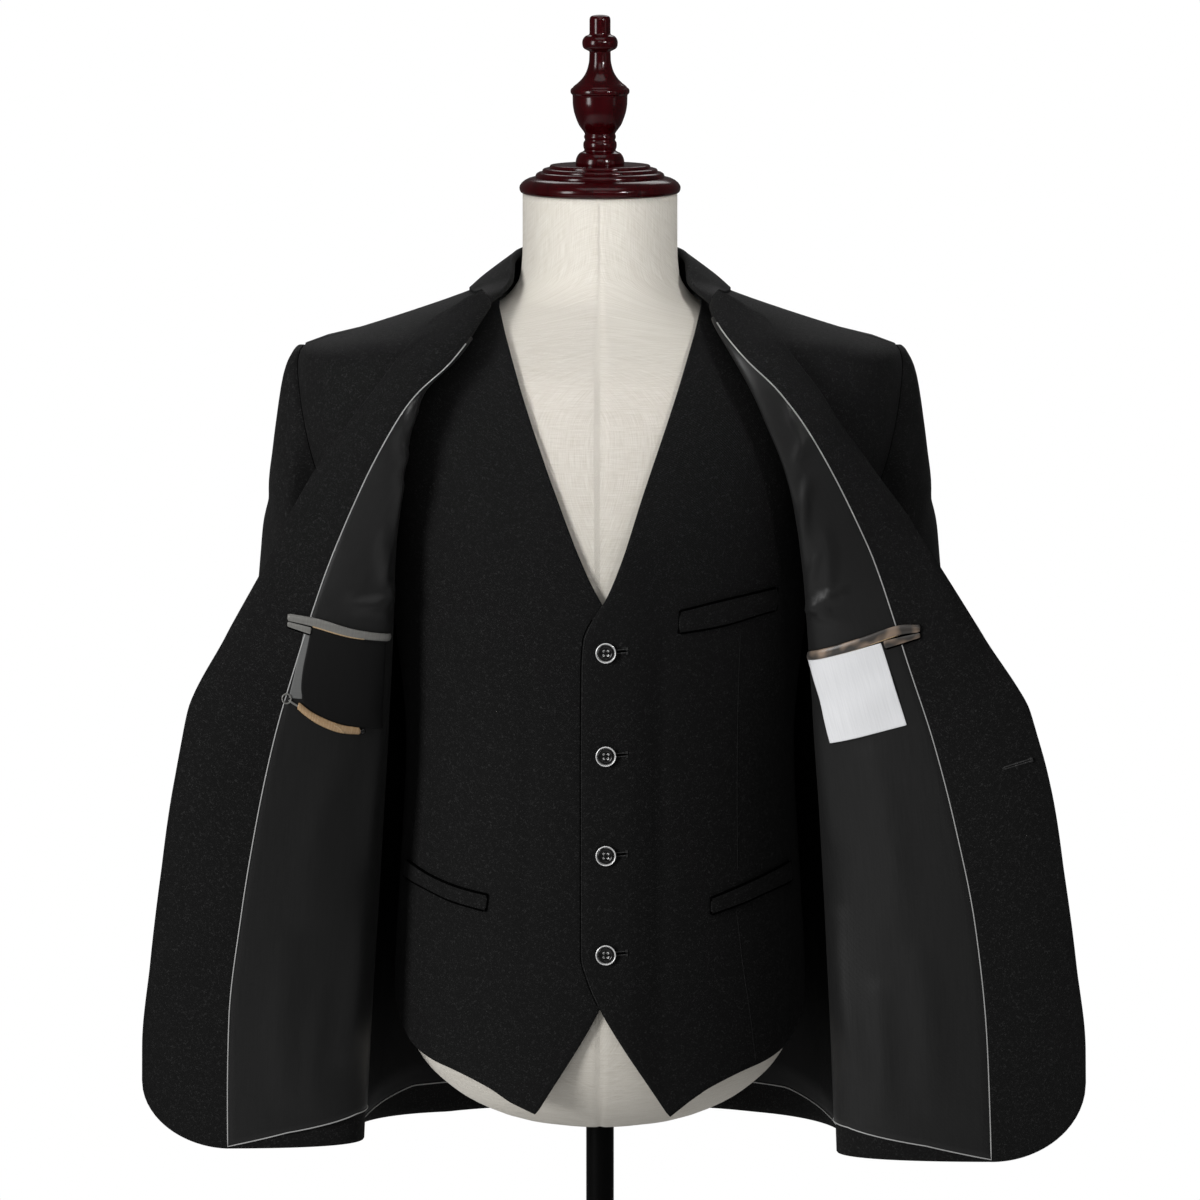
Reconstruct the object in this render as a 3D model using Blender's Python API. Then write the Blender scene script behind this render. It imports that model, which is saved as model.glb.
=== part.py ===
"""Black suit jacket, worn open over its waistcoat, on a limbless dress form with a turned neck cap.

Metres, +Z up. The origin is the centre of the stand's base on the floor. -Y is the front, and +X is the
viewer's right, which is the wearer's left. Angles round the body start at centre front: 90 degrees is
the side and 180 degrees is centre back.

Every cloth panel is a grid of points on a surface that is worked out from a table of body sections. A
panel that lies on another one uses the same grid, moved out along the surface's normals.
"""

import math

import bmesh
import bpy
import numpy as np
from mathutils.bvhtree import BVHTree

# Driving sizes
CLOTH = 0.0020  # jacket shell: cloth with its canvas
LINING = 0.0012  # lining and facing
VEST_CLOTH = 0.0018
SEAM_GAP = 0.0004  # between pieces that are sewn together
VEST_EASE = 0.0048  # from the form to the middle of the waistcoat's wall
SIDE_SEAM = 105.0  # degrees round the body, between the jacket's front and back
SHOULDER_Z = 1.4362  # the jacket's shoulder point, where the sleeve head starts
ARMPIT_Z = 1.265
NECK_Z = 1.4890  # top of the jacket's shoulder seam
GORGE_Z = 1.4735  # where the neckline meets the fold of each open front
HEM_BACK_Z = 0.787
POLE_RADIUS = 0.0112
BASE_RADIUS = 0.180
BASE_HEIGHT = 0.022
CAP_Z = 1.5575  # underside of the neck cap
VEST_LAP = 0.0038  # how far the front that buttons over lies out beyond the other
VEST_BUTTON_RADIUS = 0.0080
JACKET_BUTTON_RADIUS = 0.0105
CUFF_BUTTON_RADIUS = 0.0070
PIPING_RADIUS = 0.0006
RIGHT, LEFT = 1, -1  # the viewer's right and left
PIPING_TOP = {RIGHT: 1.4640, LEFT: 1.4505}  # where each front's piping ends


def table(names, rows):
    """A table with named columns, sorted by its first column, as arrays."""
    columns = np.array(sorted(rows), float).T
    return dict(zip(names.split(), columns))


# The dress form's sections: half width, and depth in front of and behind the neck's axis.
FORM = table(
    "z half_width front back",
    [
        (1.5571, 0.0614, 0.0590, 0.0590),
        (1.5150, 0.0615, 0.0600, 0.0600),
        (1.4930, 0.0632, 0.0610, 0.0625),
        (1.4780, 0.0722, 0.0650, 0.0700),
        (1.4650, 0.0920, 0.0720, 0.0800),
        (1.4480, 0.1300, 0.0800, 0.0900),
        (1.4300, 0.1640, 0.0890, 0.0980),
        (1.4120, 0.1820, 0.0960, 0.1040),
        (1.3850, 0.1880, 0.1040, 0.1090),
        (1.3400, 0.1830, 0.1130, 0.1140),
        (1.2900, 0.1720, 0.1180, 0.1140),
        (1.2200, 0.1590, 0.1150, 0.1070),
        (1.1200, 0.1500, 0.1060, 0.0970),
        (1.0000, 0.1560, 0.1090, 0.1050),
        (0.9200, 0.1600, 0.1120, 0.1120),
        (0.8900, 0.1570, 0.1100, 0.1100),
        (0.8620, 0.1440, 0.1020, 0.1020),
        (0.8360, 0.1180, 0.0840, 0.0840),
        (0.8170, 0.0820, 0.0580, 0.0580),
        (0.8085, 0.0460, 0.0330, 0.0330),
        (0.8066, 0.0180, 0.0150, 0.0150),
    ],
)

# The jacket's sections, at the middle of its wall; a higher power makes a squarer section.
JACKET = table(
    "z half_width front back power",
    [
        (1.4890, 0.0790, 0.0600, 0.0720, 2.2),
        (1.4850, 0.0885, 0.0645, 0.0765, 2.2),
        (1.4790, 0.1035, 0.0715, 0.0840, 2.2),
        (1.4720, 0.1210, 0.0780, 0.0910, 2.3),
        (1.4620, 0.1503, 0.0850, 0.1000, 2.4),
        (1.4522, 0.1798, 0.0930, 0.1080, 2.5),
        (1.4430, 0.2102, 0.1005, 0.1150, 2.6),
        (1.4380, 0.2302, 0.1040, 0.1175, 2.6),
        (1.4362, 0.2350, 0.1052, 0.1182, 2.6),
        (1.4290, 0.2390, 0.1085, 0.1205, 2.7),
        (1.4130, 0.2405, 0.1140, 0.1250, 2.7),
        (1.3900, 0.2400, 0.1190, 0.1290, 2.6),
        (1.3700, 0.2380, 0.1220, 0.1310, 2.6),
        (1.3400, 0.2310, 0.1250, 0.1320, 2.5),
        (1.3000, 0.2140, 0.1270, 0.1310, 2.4),
        (1.2650, 0.1980, 0.1270, 0.1290, 2.4),
        (1.2000, 0.1890, 0.1240, 0.1240, 2.3),
        (1.1200, 0.1840, 0.1200, 0.1180, 2.3),
        (1.0000, 0.1880, 0.1220, 0.1270, 2.3),
        (0.9000, 0.1940, 0.1260, 0.1390, 2.3),
        (0.7800, 0.2000, 0.1300, 0.1500, 2.3),
    ],
)

# Each open front, seen from the front: distance from the middle to the fold, to the facing's piped edge
# and to the front edge; then the front edge's y, and the way the cloth runs there, in degrees back.
OPEN_FRONT = {
    RIGHT: table(
        "z fold piping edge edge_y turn",
        [
            (1.4920, 0.0760, 0.0765, 0.1000, -0.0480, 45),
            (1.4735, 0.0862, 0.0872, 0.1180, -0.0600, 42),
            (1.4640, 0.0895, 0.0910, 0.1300, -0.0700, 40),
            (1.4400, 0.1040, 0.1100, 0.1470, -0.1000, 30),
            (1.4100, 0.1210, 0.1405, 0.1705, -0.1050, 30),
            (1.3700, 0.1380, 0.1685, 0.1965, -0.1000, 32),
            (1.3300, 0.1520, 0.1896, 0.2278, -0.0930, 24),
            (1.2850, 0.1590, 0.2110, 0.2575, -0.0870, 18),
            (1.2400, 0.1640, 0.2275, 0.2853, -0.0900, 14),
            (1.1800, 0.1685, 0.2470, 0.3238, -0.0960, 10),
            (1.1480, 0.1710, 0.2580, 0.3415, -0.0990, 8),
            (1.1200, 0.1730, 0.2665, 0.3500, -0.1000, 8),
            (1.0400, 0.1785, 0.2860, 0.3642, -0.0980, 8),
            (0.9600, 0.1830, 0.3005, 0.3758, -0.0940, 8),
            (0.8800, 0.1870, 0.3077, 0.3852, -0.0900, 6),
            (0.7800, 0.1910, 0.3118, 0.3862, -0.0860, 4),
        ],
    ),
    LEFT: table(
        "z fold piping edge edge_y turn",
        [
            (1.4920, 0.0760, 0.0765, 0.1000, -0.0480, 45),
            (1.4735, 0.0862, 0.0868, 0.1180, -0.0600, 42),
            (1.4640, 0.0930, 0.0940, 0.1300, -0.0700, 40),
            (1.4400, 0.1100, 0.1120, 0.1530, -0.1000, 30),
            (1.4100, 0.1390, 0.1435, 0.1760, -0.1050, 30),
            (1.3700, 0.1515, 0.1690, 0.2070, -0.1000, 32),
            (1.3300, 0.1570, 0.1885, 0.2333, -0.0930, 24),
            (1.2850, 0.1620, 0.2078, 0.2555, -0.0870, 18),
            (1.2400, 0.1640, 0.2245, 0.2797, -0.0900, 14),
            (1.1800, 0.1672, 0.2435, 0.3135, -0.0960, 10),
            (1.1480, 0.1692, 0.2530, 0.3266, -0.0990, 8),
            (1.1200, 0.1710, 0.2603, 0.3320, -0.1000, 8),
            (1.0400, 0.1757, 0.2760, 0.3445, -0.0980, 8),
            (0.9600, 0.1810, 0.2880, 0.3550, -0.0940, 8),
            (0.8800, 0.1860, 0.2955, 0.3632, -0.0900, 6),
            (0.7800, 0.1910, 0.2960, 0.3638, -0.0860, 4),
        ],
    ),
}

# Each front's hem: its height, and the width and height of its round corner.
HEM = {RIGHT: (0.794, 0.075, 0.064), LEFT: (0.805, 0.070, 0.055)}

# Shape of the fold: how far the cloth runs on before it turns, and how long it runs straight at the edge.
FOLD = table(
    "z run_on straight",
    [
        (1.492, 0.010, 0.012),
        (1.464, 0.016, 0.028),
        (1.440, 0.022, 0.030),
        (1.370, 0.030, 0.034),
        (1.285, 0.032, 0.050),
        (1.180, 0.038, 0.075),
        (1.040, 0.044, 0.090),
        (0.780, 0.050, 0.100),
    ],
)

# The armhole: its y at each height, in front and behind.
ARMHOLE = table(
    "z front back",
    [
        (1.2650, 0.0080, 0.0080),
        (1.2720, -0.0190, 0.0350),
        (1.2900, -0.0370, 0.0560),
        (1.3200, -0.0450, 0.0695),
        (1.3600, -0.0475, 0.0745),
        (1.4000, -0.0370, 0.0700),
        (1.4240, -0.0235, 0.0560),
        (1.4330, -0.0125, 0.0320),
        (1.4362, 0.0000, 0.0000),
    ],
)

# The sleeve below its head: centre, half width and half depth of each ring, and its tilt in degrees.
SLEEVE = table(
    "z x y half_width half_depth",
    [
        (1.2500, 0.2385, 0.0120, 0.0340, 0.0780),
        (1.1500, 0.2475, 0.0170, 0.0345, 0.0735),
        (1.0500, 0.2550, 0.0160, 0.0340, 0.0690),
        (0.9500, 0.2605, 0.0100, 0.0330, 0.0645),
        (0.8700, 0.2640, 0.0010, 0.0315, 0.0605),
        (0.8250, 0.2655, -0.0050, 0.0305, 0.0585),
    ],
)

# The collar from centre back to its end: its crease, and where its leaf's edge lies on the jacket, by
# the angle round the body and the height. Its foot follows the neckline.
COLLAR = table(
    "station crease_x crease_y crease_z leaf_angle leaf_z clear",
    [
        (0.00, 0.0000, 0.0700, 1.5120, 180.0, 1.4690, 0.0036),
        (0.25, 0.0385, 0.0595, 1.5125, 151.0, 1.4705, 0.0036),
        (0.45, 0.0615, 0.0340, 1.5110, 122.0, 1.4755, 0.0036),
        (0.62, 0.0700, 0.0020, 1.5060, 94.0, 1.4795, 0.0040),
        (0.80, 0.0705, -0.0260, 1.4940, 74.0, 1.4795, 0.0065),
        (1.00, 0.0845, -0.0620, 1.4745, 60.0, 1.4780, 0.0080),
    ],
)
SHOULDER_STATION = 0.62  # where the collar passes the jacket's shoulder seam

# Waistcoat: x of each front edge, and the armhole and hem round the body.
VEST_EDGE = {
    RIGHT: table(
        "z x",
        [
            (1.4725, 0.0836),
            (1.4631, 0.0807),
            (1.4290, 0.0690),
            (1.3994, 0.0590),
            (1.3414, 0.0385),
            (1.2650, 0.0119),
            (1.2467, 0.0032),
            (1.2440, 0.0012),
            (1.2157, -0.0125),
            (1.1900, -0.0138),
            (1.1000, -0.0142),
            (0.9650, -0.0142),
            (0.9450, -0.0090),
            (0.9243, 0.0000),
            (0.8350, 0.0555),
        ],
    ),
    LEFT: table(
        "z x",
        [
            (1.4725, 0.0836),
            (1.4631, 0.0807),
            (1.4290, 0.0697),
            (1.3994, 0.0602),
            (1.3414, 0.0398),
            (1.2650, 0.0094),
            (1.2467, -0.0004),
            (1.2440, -0.0020),
            (1.2157, -0.0130),
            (1.1000, -0.0135),
            (0.9650, -0.0135),
            (0.9450, -0.0085),
            (0.9243, 0.0000),
            (0.8372, 0.0514),
        ],
    ),
}
VEST_ARMHOLE = table(
    "z front back",
    [
        (0.8000, 90.0, 90.0),
        (1.2350, 90.0, 90.0),
        (1.2450, 84.0, 97.0),
        (1.2650, 73.0, 107.0),
        (1.3000, 63.0, 115.0),
        (1.3400, 58.5, 117.0),
        (1.3800, 59.5, 115.0),
        (1.4080, 66.0, 109.0),
        (1.4240, 78.0, 99.0),
        (1.4300, 90.0, 90.0),
        (1.4900, 90.0, 90.0),
    ],
)
VEST_HEM = table(
    "angle z",
    [
        (0, 0.8250),
        (18.5, 0.8365),
        (27, 0.8455),
        (36, 0.8565),
        (48, 0.8668),
        (58, 0.8727),
        (68, 0.8812),
        (76, 0.8935),
        (84, 0.9120),
        (90, 0.9360),
        (180, 0.9360),
    ],
)
VEST_SHOULDER_Z = 1.4330
VEST_TOP_Z = 1.4745
VEST_HANGS_BELOW = 0.925  # under this height the waistcoat hangs straight down

VEST_BUTTONS_Z = (1.2085, 1.1247, 1.0453, 0.9664)
VEST_BUTTON_X = 0.0045

# Turned shapes, from the floor or the underside up: radius and height.
NECK_CAP = [
    (0.0600, 0.0000),
    (0.0625, 0.0006),
    (0.0638, 0.0040),
    (0.0632, 0.0075),
    (0.0600, 0.0105),
    (0.0550, 0.0130),
    (0.0513, 0.0138),
    (0.0508, 0.0160),
    (0.0490, 0.0172),
    (0.0445, 0.0182),
    (0.0402, 0.0190),
    (0.0398, 0.0208),
    (0.0375, 0.0215),
]
FINIAL = [
    (0.0194, 0.0000),
    (0.0192, 0.0035),
    (0.0182, 0.0060),
    (0.0157, 0.0090),
    (0.0122, 0.0107),
    (0.0136, 0.0140),
    (0.0134, 0.0165),
    (0.0113, 0.0192),
    (0.0129, 0.0220),
    (0.0113, 0.0247),
    (0.0145, 0.0295),
    (0.0166, 0.0333),
    (0.0195, 0.0402),
    (0.0215, 0.0485),
    (0.0221, 0.0558),
    (0.0234, 0.0568),
    (0.0235, 0.0592),
    (0.0228, 0.0603),
    (0.0197, 0.0643),
    (0.0135, 0.0714),
    (0.0100, 0.0797),
    (0.0084, 0.0875),
    (0.0095, 0.0900),
    (0.0135, 0.0928),
    (0.0138, 0.0962),
    (0.0128, 0.1002),
    (0.0092, 0.1040),
    (0.0084, 0.1060),
    (0.0084, 0.1165),
    (0.0070, 0.1190),
]
BASE = [
    (0.9950, 0.0000),
    (1.0000, 0.0020),
    (1.0000, 0.0120),
    (0.9800, 0.0170),
    (0.8000, 0.0200),
    (0.2500, 0.0215),
]


def reset_scene():
    for old in list(bpy.data.objects):
        bpy.data.objects.remove(old)


def material(name, colour, roughness, metallic=0.0):
    made = bpy.data.materials.new(name)
    made.use_nodes = True
    shader = made.node_tree.nodes["Principled BSDF"]
    shader.inputs["Base Color"].default_value = (*colour, 1.0)
    shader.inputs["Roughness"].default_value = roughness
    shader.inputs["Metallic"].default_value = metallic
    return made


def curve(rows, name, at):
    """A table's column at any value of its first column, as a smooth curve through its rows."""
    keys = next(iter(rows.values()))
    values = rows[name]
    slopes = np.diff(values) / np.diff(keys)
    ends = np.concatenate([slopes[:1], slopes, slopes[-1:]])
    same_way = ends[:-1] * ends[1:] > 0
    total = np.where(same_way, ends[:-1] + ends[1:], 1.0)
    tangents = np.where(same_way, 2 * ends[:-1] * ends[1:] / total, 0.0)
    at = np.clip(np.asarray(at, float), keys[0], keys[-1])
    low = np.clip(np.searchsorted(keys, at, side="right") - 1, 0, len(keys) - 2)
    span = keys[low + 1] - keys[low]
    t = (at - keys[low]) / span
    return (
        (1 + 2 * t) * (1 - t) ** 2 * values[low]
        + t * (1 - t) ** 2 * span * tangents[low]
        + t * t * (3 - 2 * t) * values[low + 1]
        - t * t * (1 - t) * span * tangents[low + 1]
    )


def roundness(sections, angle, z):
    """How far a section stands out beyond an ellipse at an angle, from the power in its table."""
    if "power" not in sections:
        return np.ones_like(angle)
    power = curve(sections, "power", z)
    return (np.abs(np.sin(angle)) ** power + np.abs(np.cos(angle)) ** power) ** (-1 / power)


def section_point(sections, angle, z):
    """The point at an angle round the body, in degrees, on the section at height z."""
    angle, z = np.broadcast_arrays(np.radians(angle), np.asarray(z, float))
    depth = np.where(np.cos(angle) > 0, curve(sections, "front", z), curve(sections, "back", z))
    fuller = roundness(sections, angle, z)
    across = curve(sections, "half_width", z) * np.sin(angle) * fuller
    return np.stack([across, -depth * np.cos(angle) * fuller, z], axis=-1)


def section_normal(sections, angle, z):
    """The normal of the surface that the sections make, at an angle and a height."""
    across = section_point(sections, angle + 0.5, z) - section_point(sections, angle - 0.5, z)
    up = section_point(sections, angle, z + 0.001) - section_point(sections, angle, z - 0.001)
    found = unit(np.cross(across, up))
    outward = section_point(sections, angle, z) * (1, 1, 0)
    return found * np.sign(np.sum(found * outward, axis=-1, keepdims=True))


def angle_where(sections, axis, value, z, low, high):
    """The angle between two bounds at which the section at height z reaches a value of x or y."""
    value, z = np.broadcast_arrays(np.asarray(value, float), np.asarray(z, float))
    low, high = np.full(z.shape, float(low)), np.full(z.shape, float(high))
    for _ in range(32):
        middle = (low + high) / 2
        short = section_point(sections, middle, z)[..., axis] < value
        low, high = np.where(short, middle, low), np.where(short, high, middle)
    return (low + high) / 2


def armhole_angle(side, z):
    """The armhole's angle round the body at height z, in front or behind."""
    return angle_where(JACKET, 1, curve(ARMHOLE, side, z), z, 0.0, 180.0)


def unit(vectors):
    return vectors / np.linalg.norm(vectors, axis=-1, keepdims=True)


def directions(grid, axis, ring=False):
    """The mean of the directions to the next point and from the last one, along rows or columns."""
    ahead = unit(np.diff(grid, axis=axis))
    if ring:
        closing = unit(grid[:, :1] - grid[:, -1:])
        ahead = np.concatenate([ahead, closing], axis=1)
        return unit(ahead + np.roll(ahead, 1, axis=1))
    first = np.take(ahead, [0], axis=axis)
    last = np.take(ahead, [-1], axis=axis)
    behind = np.concatenate([first, ahead], axis=axis)
    return unit(behind + np.concatenate([ahead, last], axis=axis))


def normals_of(grid, outward, ring=False):
    """The normals of a grid of points, turned to the side that the outward vectors show."""
    found = unit(np.cross(directions(grid, 1, ring), directions(grid, 0)))
    side = np.sign(np.sum(found * outward, axis=-1, keepdims=True))
    return found * np.where(side == 0, 1, side)


def new_object(name, points, faces, look, smooth=True):
    mesh = bpy.data.meshes.new(name)
    mesh.from_pydata([tuple(p) for p in points], [], faces)
    shape = bmesh.new()
    shape.from_mesh(mesh)
    bmesh.ops.recalc_face_normals(shape, faces=shape.faces)
    shape.to_mesh(mesh)
    shape.free()
    mesh.materials.append(look)
    if smooth:
        mesh.shade_smooth()
        mesh.set_sharp_from_angle(angle=math.radians(50))
    made = bpy.data.objects.new(name, mesh)
    bpy.context.scene.collection.objects.link(made)
    return made


def wall(name, grid, normals, low, high, look, ring=False):
    """A closed wall between the grid moved out by low and the grid moved out by high."""
    rows, columns = grid.shape[:2]
    count = rows * columns
    inner = (grid + normals * low).reshape(-1, 3)
    outer = (grid + normals * high).reshape(-1, 3)
    step = columns if ring else columns - 1
    faces = []
    for r in range(rows - 1):
        for c in range(step):
            a, b = r * columns + c, r * columns + (c + 1) % columns
            d, e = a + columns, b + columns
            faces.append((a + count, b + count, e + count, d + count))
            faces.append((a, d, e, b))
    rim = [[r * columns + c for c in range(columns)] for r in (0, rows - 1)]
    if ring:
        rim = [line + line[:1] for line in rim]
    else:
        rim += [[r * columns + c for r in range(rows)] for c in (0, columns - 1)]
    for line in rim:
        for a, b in zip(line, line[1:]):
            faces.append((a, b, b + count, a + count))
    return new_object(name, np.concatenate([inner, outer]), faces, look)


def turned(name, profile, base_z, steps, look):
    """A solid turned about the Z axis, with flat ends."""
    points, faces = [], []
    for radius, height in profile:
        for i in range(steps):
            angle = 2 * math.pi * i / steps
            points.append((radius * math.cos(angle), radius * math.sin(angle), base_z + height))
    for r in range(len(profile) - 1):
        for i in range(steps):
            j = (i + 1) % steps
            faces.append((r * steps + i, r * steps + j, (r + 1) * steps + j, (r + 1) * steps + i))
    faces.append(tuple(range(steps)))
    faces.append(tuple(range((len(profile) - 1) * steps, len(profile) * steps)))
    return new_object(name, points, faces, look)


def button(name, centre, normal, radius, thickness, steps, look):
    """A round button with a raised rim, lying with its back on the cloth."""
    profile = [
        (radius * 0.80, 0.0),
        (radius, thickness * 0.45),
        (radius * 0.93, thickness),
        (radius * 0.72, thickness * 0.72),
    ]
    made = turned(name, profile, 0.0, steps, look)
    to_normal = np.array(normal) / np.linalg.norm(normal)
    side = unit(np.cross([0.0, 0.0, 1.0], to_normal))
    up = np.cross(to_normal, side)
    for vertex in made.data.vertices:
        x, y, z = vertex.co
        vertex.co = np.array(centre) + side * x + up * y + to_normal * z
    return made


# The jacket


def bend(a, b, c, d, t):
    """A point of the smooth curve that four points shape, t of the way along."""
    t = np.asarray(t, float)[..., None]
    return (1 - t) ** 3 * a + 3 * t * (1 - t) ** 2 * b + 3 * t * t * (1 - t) * c + t**3 * d


def flap_points(side, z, leave_x=None):
    """The four points that shape the open front at height z: leaving the body, turning, and its edge."""
    front = OPEN_FRONT[side]
    if leave_x is None:
        leave_x = curve(front, "leave", z)
    angle = angle_where(JACKET, 0, leave_x, z, 0.0, 88.0)
    leave = section_point(JACKET, angle, z)[..., :2]
    inward = unit(section_point(JACKET, angle - 1.0, z)[..., :2] - leave)
    turn = np.radians(curve(front, "turn", z))
    outward = np.stack([np.cos(turn), np.sin(turn)], axis=-1)
    edge = np.stack([curve(front, "edge", z), curve(front, "edge_y", z)], axis=-1)
    run_on = curve(FOLD, "run_on", z)[..., None]
    straight = curve(FOLD, "straight", z)[..., None]
    return leave, leave + inward * run_on, edge - outward * straight, edge


def add_leaving_column(side):
    """Where the cloth leaves the body, found so that its fold comes as far in as the table says."""
    front = OPEN_FRONT[side]
    z, fold = front["z"], front["fold"]
    leave_x = fold + 0.004
    t = np.linspace(0, 1, 101)[:, None]
    for _ in range(12):
        innermost = bend(*flap_points(side, z, leave_x), t * np.ones(len(z)))[..., 0].min(axis=0)
        leave_x = leave_x + fold - innermost
    front["leave"] = leave_x


def flap_point(side, t, z):
    """The open front's surface: t is 0 where it leaves the body and 1 at the front edge."""
    t, z = np.broadcast_arrays(np.asarray(t, float), np.asarray(z, float))
    plan = bend(*flap_points(side, z), t)
    return np.stack([side * plan[..., 0], plan[..., 1], z], axis=-1)


def flap_share(side, x, z):
    """The t at which the open front is x from the middle, past its fold."""
    steps = np.linspace(0.0, 1.0, 201)
    found = []
    for one_x, one_z in zip(np.ravel(x), np.ravel(z)):
        along = np.abs(flap_point(side, steps, one_z)[:, 0])
        first = int(np.argmin(along))
        found.append(np.interp(one_x, along[first:], steps[first:]))
    return np.array(found).reshape(np.shape(x))


def leaving_angle(side, z):
    return angle_where(JACKET, 0, curve(OPEN_FRONT[side], "leave", z), z, 0.0, 88.0)


def hem_height(side, x):
    """The front's hem at a distance x from the middle, with its round corner."""
    base, width, height = HEM[side]
    edge = OPEN_FRONT[side]["edge"][0]
    into = np.clip((x - (edge - width)) / width, 0.0, 1.0)
    return base + height * (1 - np.sqrt(1 - into**2))


ARMHOLE_Z = list(ARMHOLE["z"])
SHOULDER_LEVELS = [1.4480, 1.4620, 1.4770, NECK_Z]
LEVELS = [0.0, 0.036, 0.110, 0.200, 0.280, 0.350, 0.415]
LEVELS += [z - HEM_BACK_Z for z in ARMHOLE_Z + SHOULDER_LEVELS]

# A front's columns: on the body, round the fold to the piping, and on the facing to the edge.
BODY_SHARES = (0.0, 0.3, 0.6, 0.85, 1.0)
FOLD_SHARES = (0.10, 0.22, 0.36, 0.55, 0.77, 1.0)
FACING_SHARES = (0.3, 0.55, 0.75, 0.88, 0.96, 1.0)
PIPING_COLUMN = len(BODY_SHARES) + len(FOLD_SHARES) - 1
BACK_SHARES = (0.0, 0.12, 0.28, 0.46, 0.64, 0.82, 1.0)

# Top of the turned-out lapel: up along the end of the collar to 0.55, then down to the lapel's tip.
LAPEL_TOP = table("share z", [(0.0, 1.4735), (0.3, 1.4788), (0.55, 1.4836), (0.75, 1.4795), (1.0, 1.4665)])

# How far the lining's hem lies above the jacket's hem, by column from the side seam to the piping.
LINING_LIFT = (0.029, 0.029, 0.029, 0.028, 0.026, 0.023, 0.019, 0.014, 0.009, 0.004, 0.0015)


def side_seam_hem(side):
    return (HEM[side][0] + HEM_BACK_Z) / 2


def column_heights(levels, hem, top):
    return hem + (top - hem) * np.array(levels) / levels[-1]


def seam_angle(panel, z):
    """The angle of the seams that end a front or back panel: side seam, armhole and shoulder seam."""
    above = np.where(z < SHOULDER_Z, armhole_angle(panel, z), 90.0)
    gap = math.degrees(SEAM_GAP / 2 / 0.12)
    return np.where(z < ARMPIT_Z, SIDE_SEAM, above) + (-gap if panel == "front" else gap)


def seam_normals(side, panel, grid, normals):
    """The panel's normals, with those along its outer seams made the same as its neighbour's."""
    z = grid[:, 0, 2]
    fixed = normals.copy()
    fixed[:, 0] = section_normal(JACKET, seam_angle(panel, z), z) * (side, 1, 1)
    return fixed


def front_column(side, share):
    """A column of a front's body part, from the side seam, armhole and shoulder seam to the fold."""
    hem = side_seam_hem(side) + (HEM[side][0] - side_seam_hem(side)) * share
    z = column_heights(LEVELS, hem, NECK_Z + (GORGE_Z - NECK_Z) * share**1.2)
    seam = seam_angle("front", z)
    return section_point(JACKET, seam + (leaving_angle(side, z) - seam) * share, z) * (side, 1, 1)


def flap_column(side, z, share):
    """A column of the open front: share runs to 1 at the piping and on to 2 at the front edge."""
    piping = flap_share(side, curve(OPEN_FRONT[side], "piping", z), z)
    return flap_point(side, np.where(share <= 1, piping * share, piping + (1 - piping) * (share - 1)), z)


def front_grid(side):
    """The front panel: up the side seam, armhole and shoulder seam, round the fold and out to its edge."""
    columns = [front_column(side, share) for share in BODY_SHARES]
    hem = HEM[side][0]
    for share in FOLD_SHARES:
        columns.append(flap_column(side, column_heights(LEVELS, hem, GORGE_Z), share))
    x_piping = curve(OPEN_FRONT[side], "piping", hem)
    x_edge = OPEN_FRONT[side]["edge"][0]
    for share in FACING_SHARES:
        foot = hem_height(side, x_piping + (x_edge - x_piping) * share)
        top = float(curve(LAPEL_TOP, "z", share))
        columns.append(flap_column(side, column_heights(LEVELS, foot, top), 1 + share))
    return np.stack(columns, axis=1)


def front_normals(side, grid):
    """Normals to the outside of the cloth: away from the body, and to the back past the fold."""
    return unit(np.cross(directions(grid, 0), directions(grid, 1))) * side


def jacket_front(side, looks):
    grid = front_grid(side)
    normals = seam_normals(side, "front", grid, front_normals(side, grid))
    name = "right" if side == RIGHT else "left"
    half = CLOTH / 2
    wall(f"jacket_front_{name}", grid, normals, -half, half, looks["wool"])
    inside = -half - SEAM_GAP
    facing = grid[:, PIPING_COLUMN:].copy()
    step = unit(facing[:, 1] - facing[:, 0]) * SEAM_GAP
    facing[:, 0] += step
    wall(f"facing_{name}", facing, normals[:, PIPING_COLUMN:], inside - LINING, inside, looks["wool"])
    lining = lifted_hem(grid[:, : PIPING_COLUMN + 1], LINING_LIFT)
    lining[:, -1] -= step
    lining_normals = normals[:, : PIPING_COLUMN + 1]
    wall(f"lining_front_{name}", lining, lining_normals, inside - LINING, inside, looks["lining"])
    piping_cord(name, grid, normals, inside - LINING)


def lifted_hem(grid, lift):
    """The grid with its lowest row moved up towards the next one, as a lining stops above the hem."""
    lifted = grid.copy()
    step = grid[1] - grid[0]
    lifted[0] += step * (np.array(lift) / step[:, 2])[:, None]
    return lifted


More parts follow.
